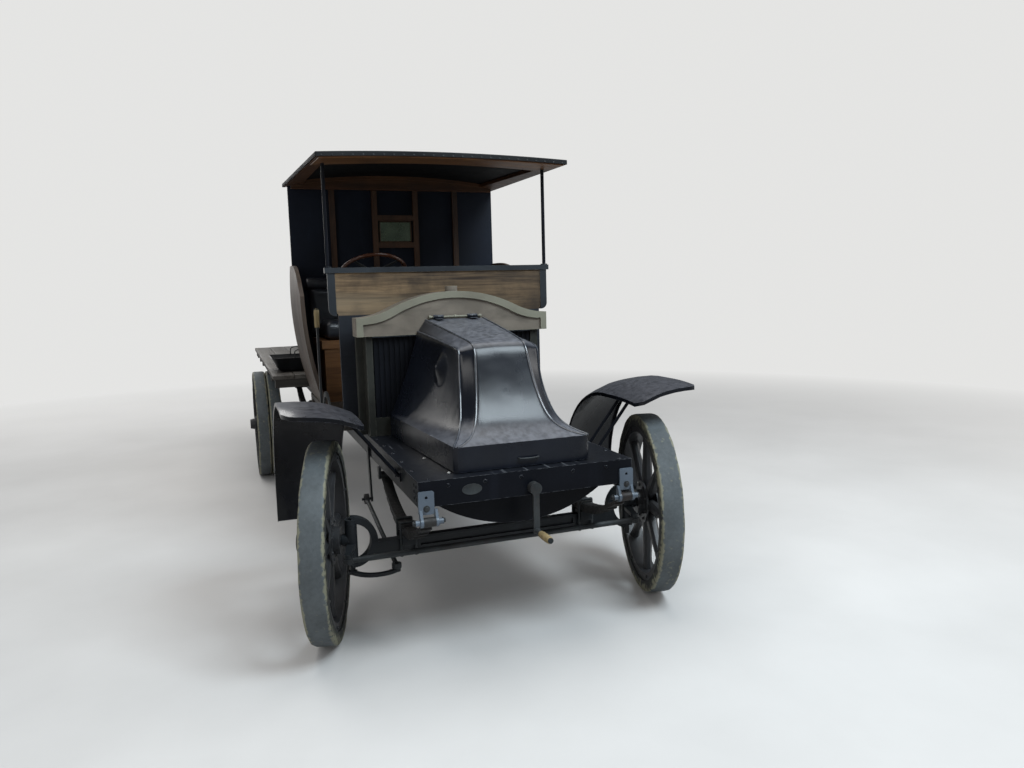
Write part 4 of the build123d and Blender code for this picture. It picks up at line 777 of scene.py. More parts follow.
def press_bonnet():
    """The bonnet's sheet, with its bead lines marked as seams."""
    piece = begin("grid", "bonnet_skin", x_subdivisions=3, y_subdivisions=4, size=4)
    top = {}
    for vertex in piece.data.vertices:
        row, column = round((vertex.co.x + 2) * 3 / 4), round(vertex.co.y)
        x, outer_y, outer_z, inner_y, inner_z, middle_z = BONNET_TOP[row]
        y, z = ((0.0, middle_z), (inner_y, inner_z), (outer_y, outer_z))[abs(column)]
        ahead = BROW if row == 3 and abs(column) < 2 else 0.0
        vertex.co = (FRONT_AXLE_X + x + ahead, y if column > 0 else -y, z)
        top[row, column] = vertex.index
    border = [top[row, 2] for row in range(3)] + [top[3, column] for column in (2, 1, 0, -1, -2)]
    border += [top[row, -2] for row in (2, 1, 0)]
    edit(piece)
    pick("EDGE", lambda e, m: e.is_boundary and m.x > BONNET_REAR + 0.001)
    rings = [border]
    for level in BONNET_RINGS:
        bpy.ops.mesh.extrude_edges_move()
        mesh = bmesh.from_edit_mesh(piece.data)
        mesh.verts.ensure_lookup_table()
        fresh = [v for v in mesh.verts if v.select]
        ring = [next(v.index for v in fresh if (v.co - mesh.verts[old].co).length < 1e-6) for old in rings[-1]]
        for index, place in zip(ring, ring_points(level)):
            mesh.verts[index].co = place
        bmesh.update_edit_mesh(piece.data)
        rings.append(ring)
    # Pressed lines: the outer and inner beads, the edges of the box, and the brow
    beads = {frozenset((upper[i], lower[i])) for upper, lower in zip(rings, rings[1:-1]) for i in (3, 4, 6, 7)}
    beads |= edges_along(border[:4]) | edges_along(border[7:])
    for side in BOTH:
        beads |= edges_along([top[row, side] for row in range(4)])
    box = edges_along(rings[-2]) | edges_along(rings[-1]) | {frozenset(pair) for pair in zip(*rings[-2:])}
    brow = edges_along(border[3:8])
    mesh = bmesh.from_edit_mesh(piece.data)
    crease = mesh.edges.layers.float.new("crease_edge")
    for e in mesh.edges:
        pair = frozenset(v.index for v in e.verts)
        e.seam = pair in beads
        e[crease] = 0.55 if pair in beads else 1.0 if pair in box else 0.35 if pair in brow else 0.0
    bmesh.update_edit_mesh(piece.data)
    modify(piece, "SUBSURF", levels=3, render_levels=3, boundary_smooth="PRESERVE_CORNERS")
    outward(piece)
    return piece


def press_bulge(piece):
    """Presses the round bulge outwards in the right side."""
    edit(piece)
    pick("FACE", lambda f, m: (m - BULGE_PLACE).length < BULGE_REACH * 1.25)
    bpy.ops.mesh.subdivide(number_cuts=3)
    pick("VERT", lambda v, m: (m - BULGE_PLACE).length < BULGE_REACH)
    move_points(lambda p: p + BULGE_WAY * BULGE_HEIGHT * (
        0.5 + 0.5 * cos(pi * (p - BULGE_PLACE).length / BULGE_REACH)) ** 0.9)


def round_section(line, radius, turns=3):
    """Gives a curve a round section and makes it a mesh."""
    line.data.bevel_depth = radius
    line.data.bevel_resolution = turns
    line.data.use_fill_caps = True
    bpy.ops.object.convert(target="MESH")
    return line


def line_of(piece, name, test, radius):
    """Copies chosen edges of a piece as a round bead or wire."""
    edit(piece)
    pick("EDGE", test)
    bpy.ops.mesh.duplicate()
    bpy.ops.mesh.separate(type="SELECTED")
    bpy.ops.object.mode_set(mode="OBJECT")
    bead = next(o for o in bpy.context.selected_objects if o != piece)
    bead.name = name
    only(bead)
    bpy.ops.object.convert(target="CURVE")
    return round_section(bead, radius)


bonnet = press_bonnet()
press_bulge(bonnet)
bead = line_of(bonnet, "bonnet_beads", lambda e, m: e.seam, 0.0055)
modify(bonnet, "SOLIDIFY", thickness=0.003, offset=-1)
settle(bonnet, BONNET_BLACK, "bonnet", "black_paint", "bonnet", angle=50)
settle(bead, BEAD_BLACK, "bonnet", "black_paint")

# %% [markdown]
# A mudguard is one strip of sheet steel, crowned across and bent over the wheel. A curve with a flat section
# could be swept over the wheel, but it couldn't have rounded corners. So a grid is crowned first and its
# front corners are pulled back along a circle. Its back edge is spun a quarter turn about the bend and drawn
# down behind the wheel, and its border is folded under, which is what stiffens the real one.

# %% Mudguards
GUARD_LOW, GUARD_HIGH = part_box("front_mudguards")
GUARD_BEND = Vector((FRONT_AXLE_X - 0.150, 0, 0.500))
GUARD_IN, GUARD_OUT = 0.645, GUARD_HIGH.y
GUARD_CREST = [(0.645, 1.003), (0.700, 1.028), (0.761, 1.050), (0.830, 1.063), (0.900, 1.069), (0.978, 1.070)]
GUARD_DROOP = 0.012  # how far the front end dips
GUARD_FOLD = 0.018


def crest_height(y):
    """Height of the mudguard's top at a distance from the middle of the truck."""
    for (y_low, z_low), (y_high, z_high) in zip(GUARD_CREST, GUARD_CREST[1:]):
        if y <= y_high:
            return z_low + (z_high - z_low) * (y - y_low) / (y_high - y_low)
    return GUARD_CREST[-1][1]


def fold_point(place):
    """Where a border point goes when the border is folded towards the wheel."""
    if place.x >= GUARD_BEND.x - 1e-4:
        return place - Vector((0, 0, GUARD_FOLD))
    away = Vector((place.x - GUARD_BEND.x, 0, max(0.0, place.z - GUARD_BEND.z)))
    return place - away.normalized() * GUARD_FOLD


def bend_guard(name, side, outer_round, inner_round):
    """One mudguard, made on the left and mirrored if it belongs on the right."""
    front, length = GUARD_HIGH.x, GUARD_HIGH.x - GUARD_BEND.x
    piece = begin("grid", name, x_subdivisions=9, y_subdivisions=12, size=1)
    for vertex in piece.data.vertices:
        x = GUARD_BEND.x + length * (vertex.co.x + 0.5)
        y = GUARD_IN + (GUARD_OUT - GUARD_IN) * (vertex.co.y + 0.5)
        vertex.co = (x, y, crest_height(y) - GUARD_DROOP * max(0.0, vertex.co.x + 0.1) ** 2 / 0.36)
    # Rounded front corners
    for vertex in piece.data.vertices:
        for edge_y, inward, radius in ((GUARD_OUT, -1, outer_round), (GUARD_IN, 1, inner_round)):
            beside = radius - inward * (vertex.co.y - edge_y)
            if beside > 0:
                reach = front - radius + sqrt(max(0.0, radius ** 2 - beside ** 2))
                share = (vertex.co.x - GUARD_BEND.x) / length
                vertex.co.x = GUARD_BEND.x + (min(front, reach) - GUARD_BEND.x) * share
    edit(piece)
    pick("EDGE", lambda e, m: e.is_boundary and abs(m.x - GUARD_BEND.x) < 1e-4)
    bpy.ops.mesh.spin(steps=12, angle=pi / 2, center=GUARD_BEND, axis=(0, 1, 0))
    pick("EDGE", lambda e, m: e.is_boundary and abs(m.z - GUARD_BEND.z) < 1e-3 and m.x < GUARD_BEND.x - 0.3)
    bpy.ops.mesh.extrude_edges_move(TRANSFORM_OT_translate={"value": (0, 0, GUARD_LOW.z - GUARD_BEND.z)})
    # The border is folded under all round, apart from the foot
    pick("EDGE", lambda e, m: e.is_boundary and m.z > GUARD_LOW.z + 0.01)
    bpy.ops.mesh.extrude_edges_move()
    move_points(fold_point)
    outward(piece)
    modify(piece, "SOLIDIFY", thickness=0.0025, offset=-1)
    if side < 0:
        piece.data.transform(Matrix.Diagonal((1, -1, 1, 1)))
        outward(piece)
    return piece


guards = [bend_guard("mudguard_right", -1, 0.120, 0.060), bend_guard("mudguard_left", 1, 0.050, 0.050)]
for guard in guards:
    settle(guard, GUARD_BLACK, "chassis", "black_paint", "front_mudguards", angle=50)

# %% [markdown]
# The tyres are solid rubber on wooden wheels. A torus has the wrong section, so a flat band with rounded
# shoulders is drawn and spun once round the axle. The shoulders of old rubber are chipped, so single points
# there are pushed in a little, from a seeded random draw, and the finish reads where tread and shoulder are
# from values stored at the points. The other tyres are copies, turned on to their own axles.

# %% Tyres
TYRE_IN, TYRE_STEPS = 0.3945, 56
SHOULDER, ARRIS = 0.007, 0.0018  # how far the shoulder's foot and its arris lie below the tread
FRONT_HALF = 0.0525
REAR_HALF, TWIN_GAP = 0.100, 0.004
CHIP_SEED = 14


def spin_tyre(name, half):
    """A tyre band about the Y axis, centred on the origin."""
    right = [(TYRE_IN, -half), (WHEEL_R - SHOULDER, -half), (WHEEL_R - ARRIS, -half + 0.0045),
             (WHEEL_R, -half + 0.016)]
    section = right + [(reach, -across) for reach, across in reversed(right)]
    piece = begin("circle", name, vertices=len(section), radius=0.1, fill_type="NOTHING")
    for vertex, (reach, across) in zip(piece.data.vertices, section):
        vertex.co = (reach, across, 0)
    edit(piece, "SELECT")
    bpy.ops.mesh.spin(steps=TYRE_STEPS, angle=2 * pi, center=(0, 0, 0), axis=(0, 1, 0))
    outward(piece)
    tread, shoulder = (piece.data.attributes.new(key, "FLOAT", "POINT") for key in ("tread", "shoulder"))
    random.seed(CHIP_SEED)
    for vertex in piece.data.vertices:
        reach = hypot(vertex.co.x, vertex.co.z)
        tread.data[vertex.index].value = float(reach > WHEEL_R - 0.003)
        shoulder.data[vertex.index].value = float(WHEEL_R - SHOULDER - 0.001 < reach < WHEEL_R - 0.001)
        if abs(reach - WHEEL_R + SHOULDER) < 0.001 and random.random() < 0.35:
            vertex.co.y *= 1 - random.uniform(0.01, 0.05)
        elif abs(reach - WHEEL_R + ARRIS) < 0.0005 and random.random() < 0.3:
            vertex.co *= 1 - random.uniform(0.002, 0.008)
    return piece


def axle_frame(wheel):
    """Centre and turn of a wheel, from the joint that spins it."""
    joint = JOINTS[f"{wheel}_spin"]
    turn = Vector((0, 1, 0)).rotation_difference(Vector(joint["axis"]).normalized()).to_matrix().to_4x4()
    return Matrix.Translation(joint["pos_m"]) @ turn


front_band = spin_tyre("front_band", FRONT_HALF)
rear_band = spin_tyre("rear_band", (REAR_HALF - TWIN_GAP) / 2)
twin_y = (REAR_HALF + TWIN_GAP) / 2
for wheel in WHEELS:
    end, side = wheel.split("_")
    band, places = (front_band, (0.0,)) if end == "front" else (rear_band, (twin_y, -twin_y))
    chips_round = Matrix.Rotation(radians(37 * len(wheel)), 4, "Y")  # so that no two tyres show the same chips
    bands = [copy_of(band, "band", axle_frame(wheel) @ Matrix.Translation((0, y, 0)) @ chips_round)
             for y in places]
    tyre = join(bands, f"tyre_{wheel}")
    settle(tyre, TYRE, f"{end}_wheel_{side}", "tyre_rubber", f"{end}_tyre_{side}", angle=50)
scrap(front_band, rear_band)

# %% [markdown]
# The seat is leather cloth over horsehair. A block of the cushion's size is rounded, meshed finely and blown
# up a little as cloth with air in it, so that its sides bulge and its top crowns as stuffing does. The upright
# pad and the roll along its top are made the same way, the roll from a round bar.

# %% Seat cushion and back
SEAT_LOW, SEAT_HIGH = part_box("seat_cushion")
BACK_LOW, BACK_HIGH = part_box("seat_back")
PAD_LOW, PAD_HIGH = BACK_LOW + Vector((0.004, 0.004, 0)), BACK_HIGH - Vector((0.014, 0.004, 0.060))
ROLL_RADIUS, ROLL_END = 0.052, 0.6
ROLL_X, ROLL_Z = (BACK_LOW.x + BACK_HIGH.x) / 2, BACK_HIGH.z - ROLL_RADIUS
VOXEL, STEPS, PRESSURE = 0.010, 20, 4


def block(name, low, high, inset, rounding):
    """A rounded block between two corners, a little smaller all round."""
    piece = begin("cube", name, size=1, location=(low + high) / 2, scale=high - low - 2 * Vector(inset))
    edit(piece, "SELECT")
    bpy.ops.mesh.bevel(offset=rounding, segments=3)
    return piece


def stuff(piece, cap, low, high):
    """Meshes a piece finely, blows it up as cloth, moves no point further than cap, and holds it in its box."""
    modify(piece, "REMESH", mode="VOXEL", voxel_size=VOXEL)
    before = [v.co.copy() for v in piece.data.vertices]
    cloth = piece.modifiers.new("stuffing", "CLOTH")
    cloth.settings.use_pressure = True
    cloth.settings.uniform_pressure_force = PRESSURE
    cloth.settings.effector_weights.gravity = 0
    for step in range(STEPS):
        bpy.context.scene.frame_set(step + 1)
    bpy.ops.object.modifier_apply(modifier=cloth.name)
    for vertex, rest in zip(piece.data.vertices, before):
        moved = vertex.co - rest
        if moved.length > cap:
            vertex.co = rest + moved * (cap / moved.length)
    bpy.context.scene.frame_set(1)
    for vertex in piece.data.vertices:
        vertex.co = Vector(min(max(c, a), b) for c, a, b in zip(vertex.co, low, high))
    modify(piece, "SUBSURF", levels=1, render_levels=1)


def turn_roll():
    """The round bar that the seat's top roll is stuffed from, with softened ends."""
    piece = begin("cylinder", "seat_back_roll", vertices=24, radius=ROLL_RADIUS - 0.009,
                  depth=BACK_HIGH.y - BACK_LOW.y - 0.016, rotation=(pi / 2, 0, 0), location=(ROLL_X, 0, ROLL_Z))
    edit(piece)
    pick("FACE", lambda f, m: abs(m.y) > ROLL_END)
    bpy.ops.mesh.inset(thickness=0.012)
    pick("EDGE", lambda e, m: abs(m.y) > ROLL_END and hypot(m.x - ROLL_X, m.z - ROLL_Z) > 0.035)
    bpy.ops.mesh.bevel(offset=0.010, segments=3)
    return piece


cushion = block("seat_cushion_leather", SEAT_LOW, SEAT_HIGH, (0.012, 0.012, 0.010), 0.028)
pad = block("seat_back_pad", PAD_LOW, PAD_HIGH, (0.010, 0.012, 0.004), 0.022)
roll = turn_roll()
for piece, cap, low, high, node in ((cushion, 0.016, SEAT_LOW, SEAT_HIGH, "seat_cushion"),
                                    (pad, 0.014, PAD_LOW, PAD_HIGH, "seat_back"),
                                    (roll, 0.010, BACK_LOW, BACK_HIGH, "seat_back")):
    stuff(piece, cap, low, high)
    settle(piece, LEATHER, "chassis", "seat_leather", node, angle=None)

# %% [markdown]
# Round fittings, such as rivets, washers and wooden grips, are turned: half of the outline is drawn as a row
# of points and spun once round its own axis. Wires, such as handles and U-bolts, are smooth curves with a
# round section, made a mesh at the end. Bolts and rivets are made once and copied to rows of places.

# %% A lathe, a wire and a tray of bolts
def turned(name, outline, steps=24):
    """Spins a row of (radius, height) points round Z."""
    piece = begin("circle", name, vertices=len(outline), radius=1, fill_type="NOTHING")
    for vertex, (reach, height) in zip(piece.data.vertices, outline):
        vertex.co = (reach, 0, height)
    edit(piece)
    pick("EDGE", lambda e, m: {v.index for v in e.verts} == {0, len(outline) - 1})
    bpy.ops.mesh.delete(type="EDGE_FACE")
    bpy.ops.mesh.select_all(action="SELECT")
    bpy.ops.mesh.spin(steps=steps, angle=2 * pi, center=(0, 0, 0), axis=(0, 0, 1))
    outward(piece)
    return piece


def wire(name, points, radius, turns=3):
    """A smooth round wire along five points or more."""
    only()
    bpy.ops.curve.primitive_nurbs_path_add()
    line = bpy.context.object
    line.name = name
    spline = line.data.splines[0]
    spline.points.add(len(points) - len(spline.points))
    for point, place in zip(spline.points, points):
        point.co = (*place, 1)
    spline.order_u = 3
    spline.use_endpoint_u = True
    line.data.resolution_u = 6
    return round_section(line, radius, turns)


def facing(place, direction):
    """Matrix that stands a piece, made upright at the origin, at a place and along a direction."""
    turn = Vector((0, 0, 1)).rotation_difference(Vector(direction)).to_matrix().to_4x4()
    return Matrix.Translation(place) @ turn


def bolt_head(size):
    """A six-sided head on a round washer, with its top edge chamfered."""
    head = begin("cylinder", "bolt_head", vertices=6, radius=size, depth=0.8 * size,
                 location=(0, 0, 0.5 * size))
    edit(head)
    pick("FACE", lambda f, m: m.z > 0.89 * size)
    bpy.ops.mesh.inset(thickness=0.16 * size)
    bpy.ops.transform.translate(value=(0, 0, 0.12 * size))
    pick("FACE", lambda f, m: m.z < 0.11 * size)
    bpy.ops.mesh.inset(thickness=0.1 * size)
    rim = ((0, 0.14), (1.35, 0.14), (1.45, 0.05), (1.45, -0.1), (0, -0.1))
    return join([head, turned("washer", [(x * size, z * size) for x, z in rim], 12)], "bolt_head")


def rivet_head(size):
    """A low round head."""
    dome = ((0, 0.55), (0.5, 0.45), (0.86, 0.2), (1, -0.02), (0, -0.02))
    return turned("rivet_head", [(x * size, z * size) for x, z in dome], 10)


def strew(unit, name, spots):
    """Copies a small unit to many spots, each a place and a direction, and joins them into one piece."""
    return join([copy_of(unit, name, facing(place, direction)) for place, direction in spots], name)


BOLT_10, BOLT_7 = bolt_head(0.010), bolt_head(0.007)
RIVET_9, RIVET_5 = rivet_head(0.009), rivet_head(0.0055)
print("bolt faces:", len(BOLT_10.data.polygons), "rivet faces:", len(RIVET_9.data.polygons))

# %% [markdown]
# In front the bonnet's box has a small wire pull, and at the dash two barrels turn on the hinge pin. Each
# barrel is turned, and a short strap below it is fixed to the bonnet's top.

# %% Bonnet fittings
HINGE = Vector(JOINTS["bonnet_lift"]["pos_m"])
HINGE_Y = 0.095
PULL_PLACE = (FRONT_AXLE_X + 0.374, 0.018, 0)  # 2 mm inside the box's front
pull_line = arch([(0, -0.045, 0.829), (0.010, -0.045, 0.829), (0.014, -0.038, 0.828)], (0.014, 0, 0.826))
pull = wire("bonnet_pull", [Vector(point) + Vector(PULL_PLACE) for point in pull_line], 0.0042)
settle(pull, IRON, "bonnet", "black_paint")

barrels = []
for side in BOTH:
    barrel = turned("barrel", [(0.0062, -0.028), (0.0105, -0.028), (0.0115, -0.026), (0.0115, 0.026),
                               (0.0105, 0.028), (0.0062, 0.028), (0.0062, -0.028)], 20)
    barrel.data.transform(facing(HINGE + Vector((0, side * HINGE_Y, 0)), (0, 1, 0)))
    strap_place = HINGE + Vector((0.030, side * HINGE_Y, -0.0105))
    barrels += [barrel, bar("strap", strap_place, (0.050, 0.040, 0.003), 0.0012)]
settle(join(barrels, "bonnet_hinges"), BONNET_BLACK, "bonnet", "black_paint")

# %% [markdown]
# Small fastenings tell the eye how large the truck is. They are copied from the bolts and rivets to rows of
# places: round each hub, along the fascia and the end plates, and down the frame rails.

# %% Fastenings
FACE_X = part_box("front_deck")[1].x
PLATE_X = FACE_X + 0.009
DECK_Z, RAIL_Y = 0.788, 0.475
HUB_CIRCLE, HUB_FACE = 0.086, {"front": 0.046 / 2 + 0.008, "rear": 0.064 / 2 + 0.008}
FELLOE_CIRCLE, FELLOE_FACE, SPOKES = 0.376, 0.0447, 8
chassis_bolts = [((PLATE_X, side * 0.4555, 0.677), (1, 0, 0)) for side in BOTH]
chassis_bolts += [((PLATE_X, side * 0.4475 + way * 0.058, 0.622), (0, way, 0)) for side in BOTH for way in BOTH]
deck_places = [(0.410, 0.440)] + [(x, 0.462) for x in (0.230, 0.030, -0.170, -0.370, -0.570)]
deck_rivets = [((FRONT_AXLE_X + x, side * y, DECK_Z), (0, 0, 1)) for side in BOTH for x, y in deck_places]
deck_rivets += [((FACE_X, y, 0.762), (1, 0, 0)) for y in (-0.36, -0.20, -0.04, 0.20, 0.36)]
bright_heads = [((FRONT_AXLE_X + x, y, DECK_Z), (0, 0, 1)) for x, y in ((0.007, -0.352), (0.333, -0.326))]
rail_rivets = [((x + dx, side * RAIL_Y, z), (0, side, 0)) for x in (2.66, -0.08, -0.74, -1.83, -2.86, 0.76)
               for side in BOTH for dx in (-0.02, 0.02) for z in (0.695, 0.7225, 0.75)]
for unit, name, spots, finish, slot in (
        (BOLT_10, "spring_and_plate_bolts", chassis_bolts, IRON, "bare_iron"),
        (RIVET_9, "deck_rivets", deck_rivets, BLACK, "black_paint"),
        (RIVET_9, "rail_rivets", rail_rivets, FRAME_BLACK, "frame_paint"),
        (RIVET_9, "bright_deck_screws", bright_heads, BRIGHT, "bare_iron")):
    settle(strew(unit, name, spots), finish, "chassis", slot)


def hub_spots(end, side):
    """Bolts round a hub, on its outer face only at the rear, and round a front wheel's felloe."""
    faces = BOTH if end == "front" else (1 if side == "left" else -1,)
    rings = [(HUB_CIRCLE, HUB_FACE[end], way) for way in faces]
    if end == "front":
        rings += [(FELLOE_CIRCLE, FELLOE_FACE, way) for way in BOTH]
    turns = [(number + 0.5) * 2 * pi / SPOKES for number in range(SPOKES)]
    return [((reach * cos(turn), way * face, reach * sin(turn)), (0, way, 0))
            for turn in turns for reach, face, way in rings]


for wheel in WHEELS:
    end, side = wheel.split("_")
    bolts = strew(BOLT_7, f"hub_bolts_{wheel}", hub_spots(end, side))
    bolts.data.transform(axle_frame(wheel))
    settle(bolts, WHEEL_BLACK, f"{end}_wheel_{side}", "wheel_paint")

# %% [markdown]
# Each spring is held to its axle by U-bolts, bent from round bar over the stack of leaves. Extruding a
# section round the bends would take many steps, and a wire along a few places takes one. Below each leg sits a
# copy of the bolt head as its nut.

# %% U-bolts
LEAVES = [(FRONT_AXLE_X, 0.4475, 0.502, 0.357), (REAR_AXLE_X, 0.545, 0.582, 0.440)]  # x, y, top, underside
LEG_Y, LEG_X = 0.034, (-0.038, 0.038)  # where the legs stand beside the leaves, and before and behind the axle


def u_bolt(x, y, top, low, bend=0.012):
    """Round bar bent over the leaves."""
    line = arch([(x, -LEG_Y, low), (x, -LEG_Y, (low + top) / 2), (x, -LEG_Y, top - bend), (x, -LEG_Y, top),
                 (x, bend - LEG_Y, top)])
    return wire("u_bolt", [(x, y + across, z) for x, across, z in line], 0.006, turns=2)


clamps = []
for x, y, top, low in LEAVES:
    for side in BOTH:
        clamps += [u_bolt(x + dx, side * y, top + 0.005, low) for dx in LEG_X]
        clamps += [copy_of(BOLT_10, "nut", facing((x + dx, side * y + way * LEG_Y, low + 0.004), (0, 0, -1)))
                   for way in BOTH for dx in LEG_X]
settle(join(clamps, "spring_u_bolts"), IRON, "chassis", "bare_iron")

# %% [markdown]
# The grips of the hand lever and the starting crank are pale turned wood, handled until they shine. The
# tray's two handles are bent wire that leans in over the tray.

# %% Grips and tray handles
LEVER = Vector((FRONT_AXLE_X - 1.110, -0.676, 1.362))
CRANK_LOW, CRANK_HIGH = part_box("starting_crank")
TRAY_LOW, TRAY_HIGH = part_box("stowage_tray")
grip = turned("lever_grip", [(0, 0.1065), (0.009, 0.105), (0.0138, 0.098), (0.0155, 0.080), (0.0142, 0.050),
                             (0.0150, 0.022), (0.0136, 0.006), (0.0132, 0.0), (0, 0.0)], 20)
crank_grip = turned("crank_grip", [(0, 0.0), (0.0125, 0.0), (0.0150, 0.006), (0.0165, 0.050), (0.0150, 0.094),
                                   (0.0125, 0.1005), (0, 0.101)], 20)
for piece, place, way in ((grip, LEVER, (0, 0, 1)),
                          (crank_grip, (CRANK_HIGH.x - 0.1055, 0.012, CRANK_LOW.z + 0.012), (1, 0, 0))):
    piece.data.transform(facing(place, way))
    settle(piece, GRIP_WOOD, "chassis", "bare_iron", angle=60)


def tray_handle(x, lean):
    """Wire that rises from both ends of the rim and leans inwards."""
    line = arch([(0, -0.075, -0.012), (0, -0.075, 0.02), (lean, -0.070, 0.052)], (lean, 0, 0.058))
    foot = Vector((x, (TRAY_LOW.y + TRAY_HIGH.y) / 2, TRAY_HIGH.z))
    return wire("tray_handle", [foot + Vector(point) for point in line], 0.004)


handles = [tray_handle(TRAY_LOW.x + 0.006, 0.02), tray_handle(TRAY_HIGH.x - 0.006, -0.02)]
settle(join(handles, "tray_handles"), TRAY_BLACK, "chassis", "tray_paint")

# %% [markdown]
# The roof is painted canvas, stretched over thin boards and tacked along its edge. It is one curved sheet: a
# grid is laid on the crown of the roof, which is an arc that rises towards the back, and the border is
# extruded down over the edge of the boards. Between the bows the cloth sinks by a millimetre or two.

# %% Roof canvas
ROOF_FRONT, ROOF_LENGTH = 1.685, 1.485
HALF_FRONT, HALF_REAR = 0.692, 0.746
CANVAS_THICK, ROOF_LIP, LIP_BEND = 0.0025, 0.024, 0.007
BOW_GAP, SAG = ROOF_LENGTH / 4, 0.0015
TACK_GAP, TACK_DROP = 0.0528, 0.014


def roof_height(x, y):
    """Top of the boards at a place on the roof, with the half width of the roof there."""
    share = (ROOF_FRONT - x) / ROOF_LENGTH
    half, rise = HALF_FRONT + (HALF_REAR - HALF_FRONT) * share, 0.018 + 0.042 * share
    radius = (half ** 2 + rise ** 2) / (2 * rise)
    crown = 2.263 + 0.037 * share + rise - 0.008
    return crown - radius + sqrt(radius ** 2 - (y * half) ** 2), half


def lay_canvas():
    """The sheet, bent to the roof and turned down all round."""
    cloth = begin("grid", "roof_canvas_sheet", x_subdivisions=48, y_subdivisions=40, size=1)
    for vertex in cloth.data.vertices:
        x = ROOF_FRONT - ROOF_LENGTH * (0.5 - vertex.co.x) * 0.998 - 0.0015
        share = vertex.co.y * 2 * 0.998
        z, half = roof_height(x, share)
        between = sin(pi * (ROOF_FRONT - x) / BOW_GAP) ** 2 * (1 - share ** 6) * (1 - (2 * vertex.co.x) ** 10)
        vertex.co = (x, share * half, z + CANVAS_THICK + SAG - SAG * between)
    edit(cloth)
    pick("EDGE", lambda e, m: e.is_boundary)
    for drop in (LIP_BEND, ROOF_LIP - LIP_BEND):
        bpy.ops.mesh.extrude_edges_move(TRANSFORM_OT_translate={"value": (0, 0, -drop)})
    outward(cloth)
    modify(cloth, "BEVEL", width=0.004, segments=3, limit_method="ANGLE", angle_limit=radians(50))
    return cloth


def tack_spots():
    """Places along the front edge and down both sides."""
    spots = []
    for y in (-0.660 + number * TACK_GAP for number in range(26)):
        spots.append(((ROOF_FRONT, y, roof_height(ROOF_FRONT, y / HALF_FRONT)[0] - TACK_DROP), (1, 0, 0)))
    for x in (ROOF_FRONT - 0.03 - number * TACK_GAP for number in range(28)):
        z, half = roof_height(x, 1)
        spots += [((x, side * half, z - TACK_DROP), (0, side, 0)) for side in BOTH]
    return spots


roof_cloth = lay_canvas()
modify(roof_cloth, "SOLIDIFY", thickness=CANVAS_THICK, offset=-1)
settle(roof_cloth, CANVAS, "chassis", "roof_canvas", "roof_canopy", angle=50)
tack = turned("tack", [(0, 0.0018), (0.0028, 0.0012), (0.0042, -0.0004), (0, -0.0004)], 8)
settle(strew(tack, "roof_tacks", tack_spots()), IRON, "chassis", "bare_iron")
scrap(tack)

# %% [markdown]
# Seen from the road, the brightest thing under the roof is the varnished board behind its front edge. Its wood
# is laid lighter than the bows', as painted light on the front of the roof's underside. It follows the crown of
# the roof: a narrow grid is bent to the arc, thickened and rounded along its edges.

# %% Front soffit board
SOFFIT_DEPTH, SOFFIT_THICK, BOARD_LOW = 0.290, 0.005, 0.022
SOFFIT_REACH = 0.97 * 2
soffit = begin("grid", "roof_soffit", x_subdivisions=4, y_subdivisions=40, size=1)
for vertex in soffit.data.vertices:
    x = ROOF_FRONT - 0.013 - SOFFIT_DEPTH * (0.5 - vertex.co.x)
    z, half = roof_height(x, vertex.co.y * SOFFIT_REACH)
    vertex.co = (x, vertex.co.y * SOFFIT_REACH * half, z - BOARD_LOW)
modify(soffit, "SOLIDIFY", thickness=SOFFIT_THICK, offset=-1)
modify(soffit, "BEVEL", width=0.0015, segments=2, limit_method="ANGLE", angle_limit=radians(50))
settle(soffit, LIT_SOFFIT_WOOD, "chassis", "brown_wood")

# %% [markdown]
# The bed is floored with rough boards that run lengthwise. Lines drawn on one slab would stay flat in a low
# light, so each board is a piece of its own: a stretched cube with worn edges. The twelve differ a little in
# height, in the cut of their ends and in tone, from a seeded draw. Holes for the bed bolts go through with a
# boolean, as a drill would.

# %% Bed boards
BED_LOW, BED_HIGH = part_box("bed_deck")
BOARDS, BOARD_GAP, BOARD_SEED = 12, 0.004, 7
BOARD_WIDTH = (BED_HIGH.y - BED_LOW.y + BOARD_GAP) / BOARDS
BED_BOLTS, BOLT_HOLE = [(x, y) for x in (-2.61, -0.11) for y in (-0.70, 0.70)], 0.009
BEARERS_X = (0.18, -0.32, -0.82, -1.67, -2.17, -2.67, -2.90)


def lay_board(number):
    """One board with its own ends, height and tone, drilled where a bed bolt passes."""
    left = BED_LOW.y + number * BOARD_WIDTH
    low = Vector((BED_LOW.x + random.uniform(0, 0.006), left, BED_LOW.z))
    high = Vector((BED_HIGH.x - random.uniform(0, 0.003), left + BOARD_WIDTH - BOARD_GAP,
                   BED_HIGH.z - random.uniform(0, 0.0025)))
    tone = random.uniform(0, 1)
    board = bar(f"board_{number}", (low + high) / 2, high - low, 0.0022)
    for value in board.data.attributes.new("board", "FLOAT", "POINT").data:
        value.value = tone
    for x, y in BED_BOLTS:
        if low.y < y < high.y:
            drill = begin("cylinder", "drill", vertices=24, radius=BOLT_HOLE, depth=0.2,
                          location=(x, y, BED_HIGH.z))
            modify(board, "BOOLEAN", object=drill, operation="DIFFERENCE")
            scrap(drill)
    return board


random.seed(BOARD_SEED)
boards = [lay_board(number) for number in range(BOARDS)]
settle(join(boards, "bed_boards"), BED_WOOD, "chassis", "grey_wood", "bed_deck", angle=30)
nails = [((x + dx, BED_LOW.y + (number + where) * BOARD_WIDTH, BED_HIGH.z - 0.0022), (0, 0, 1))
         for x in BEARERS_X for number in range(BOARDS) for dx, where in ((-0.012, 0.25), (0.012, 0.73))]
settle(strew(RIVET_5, "bed_nails", nails), IRON, "chassis", "bare_iron")

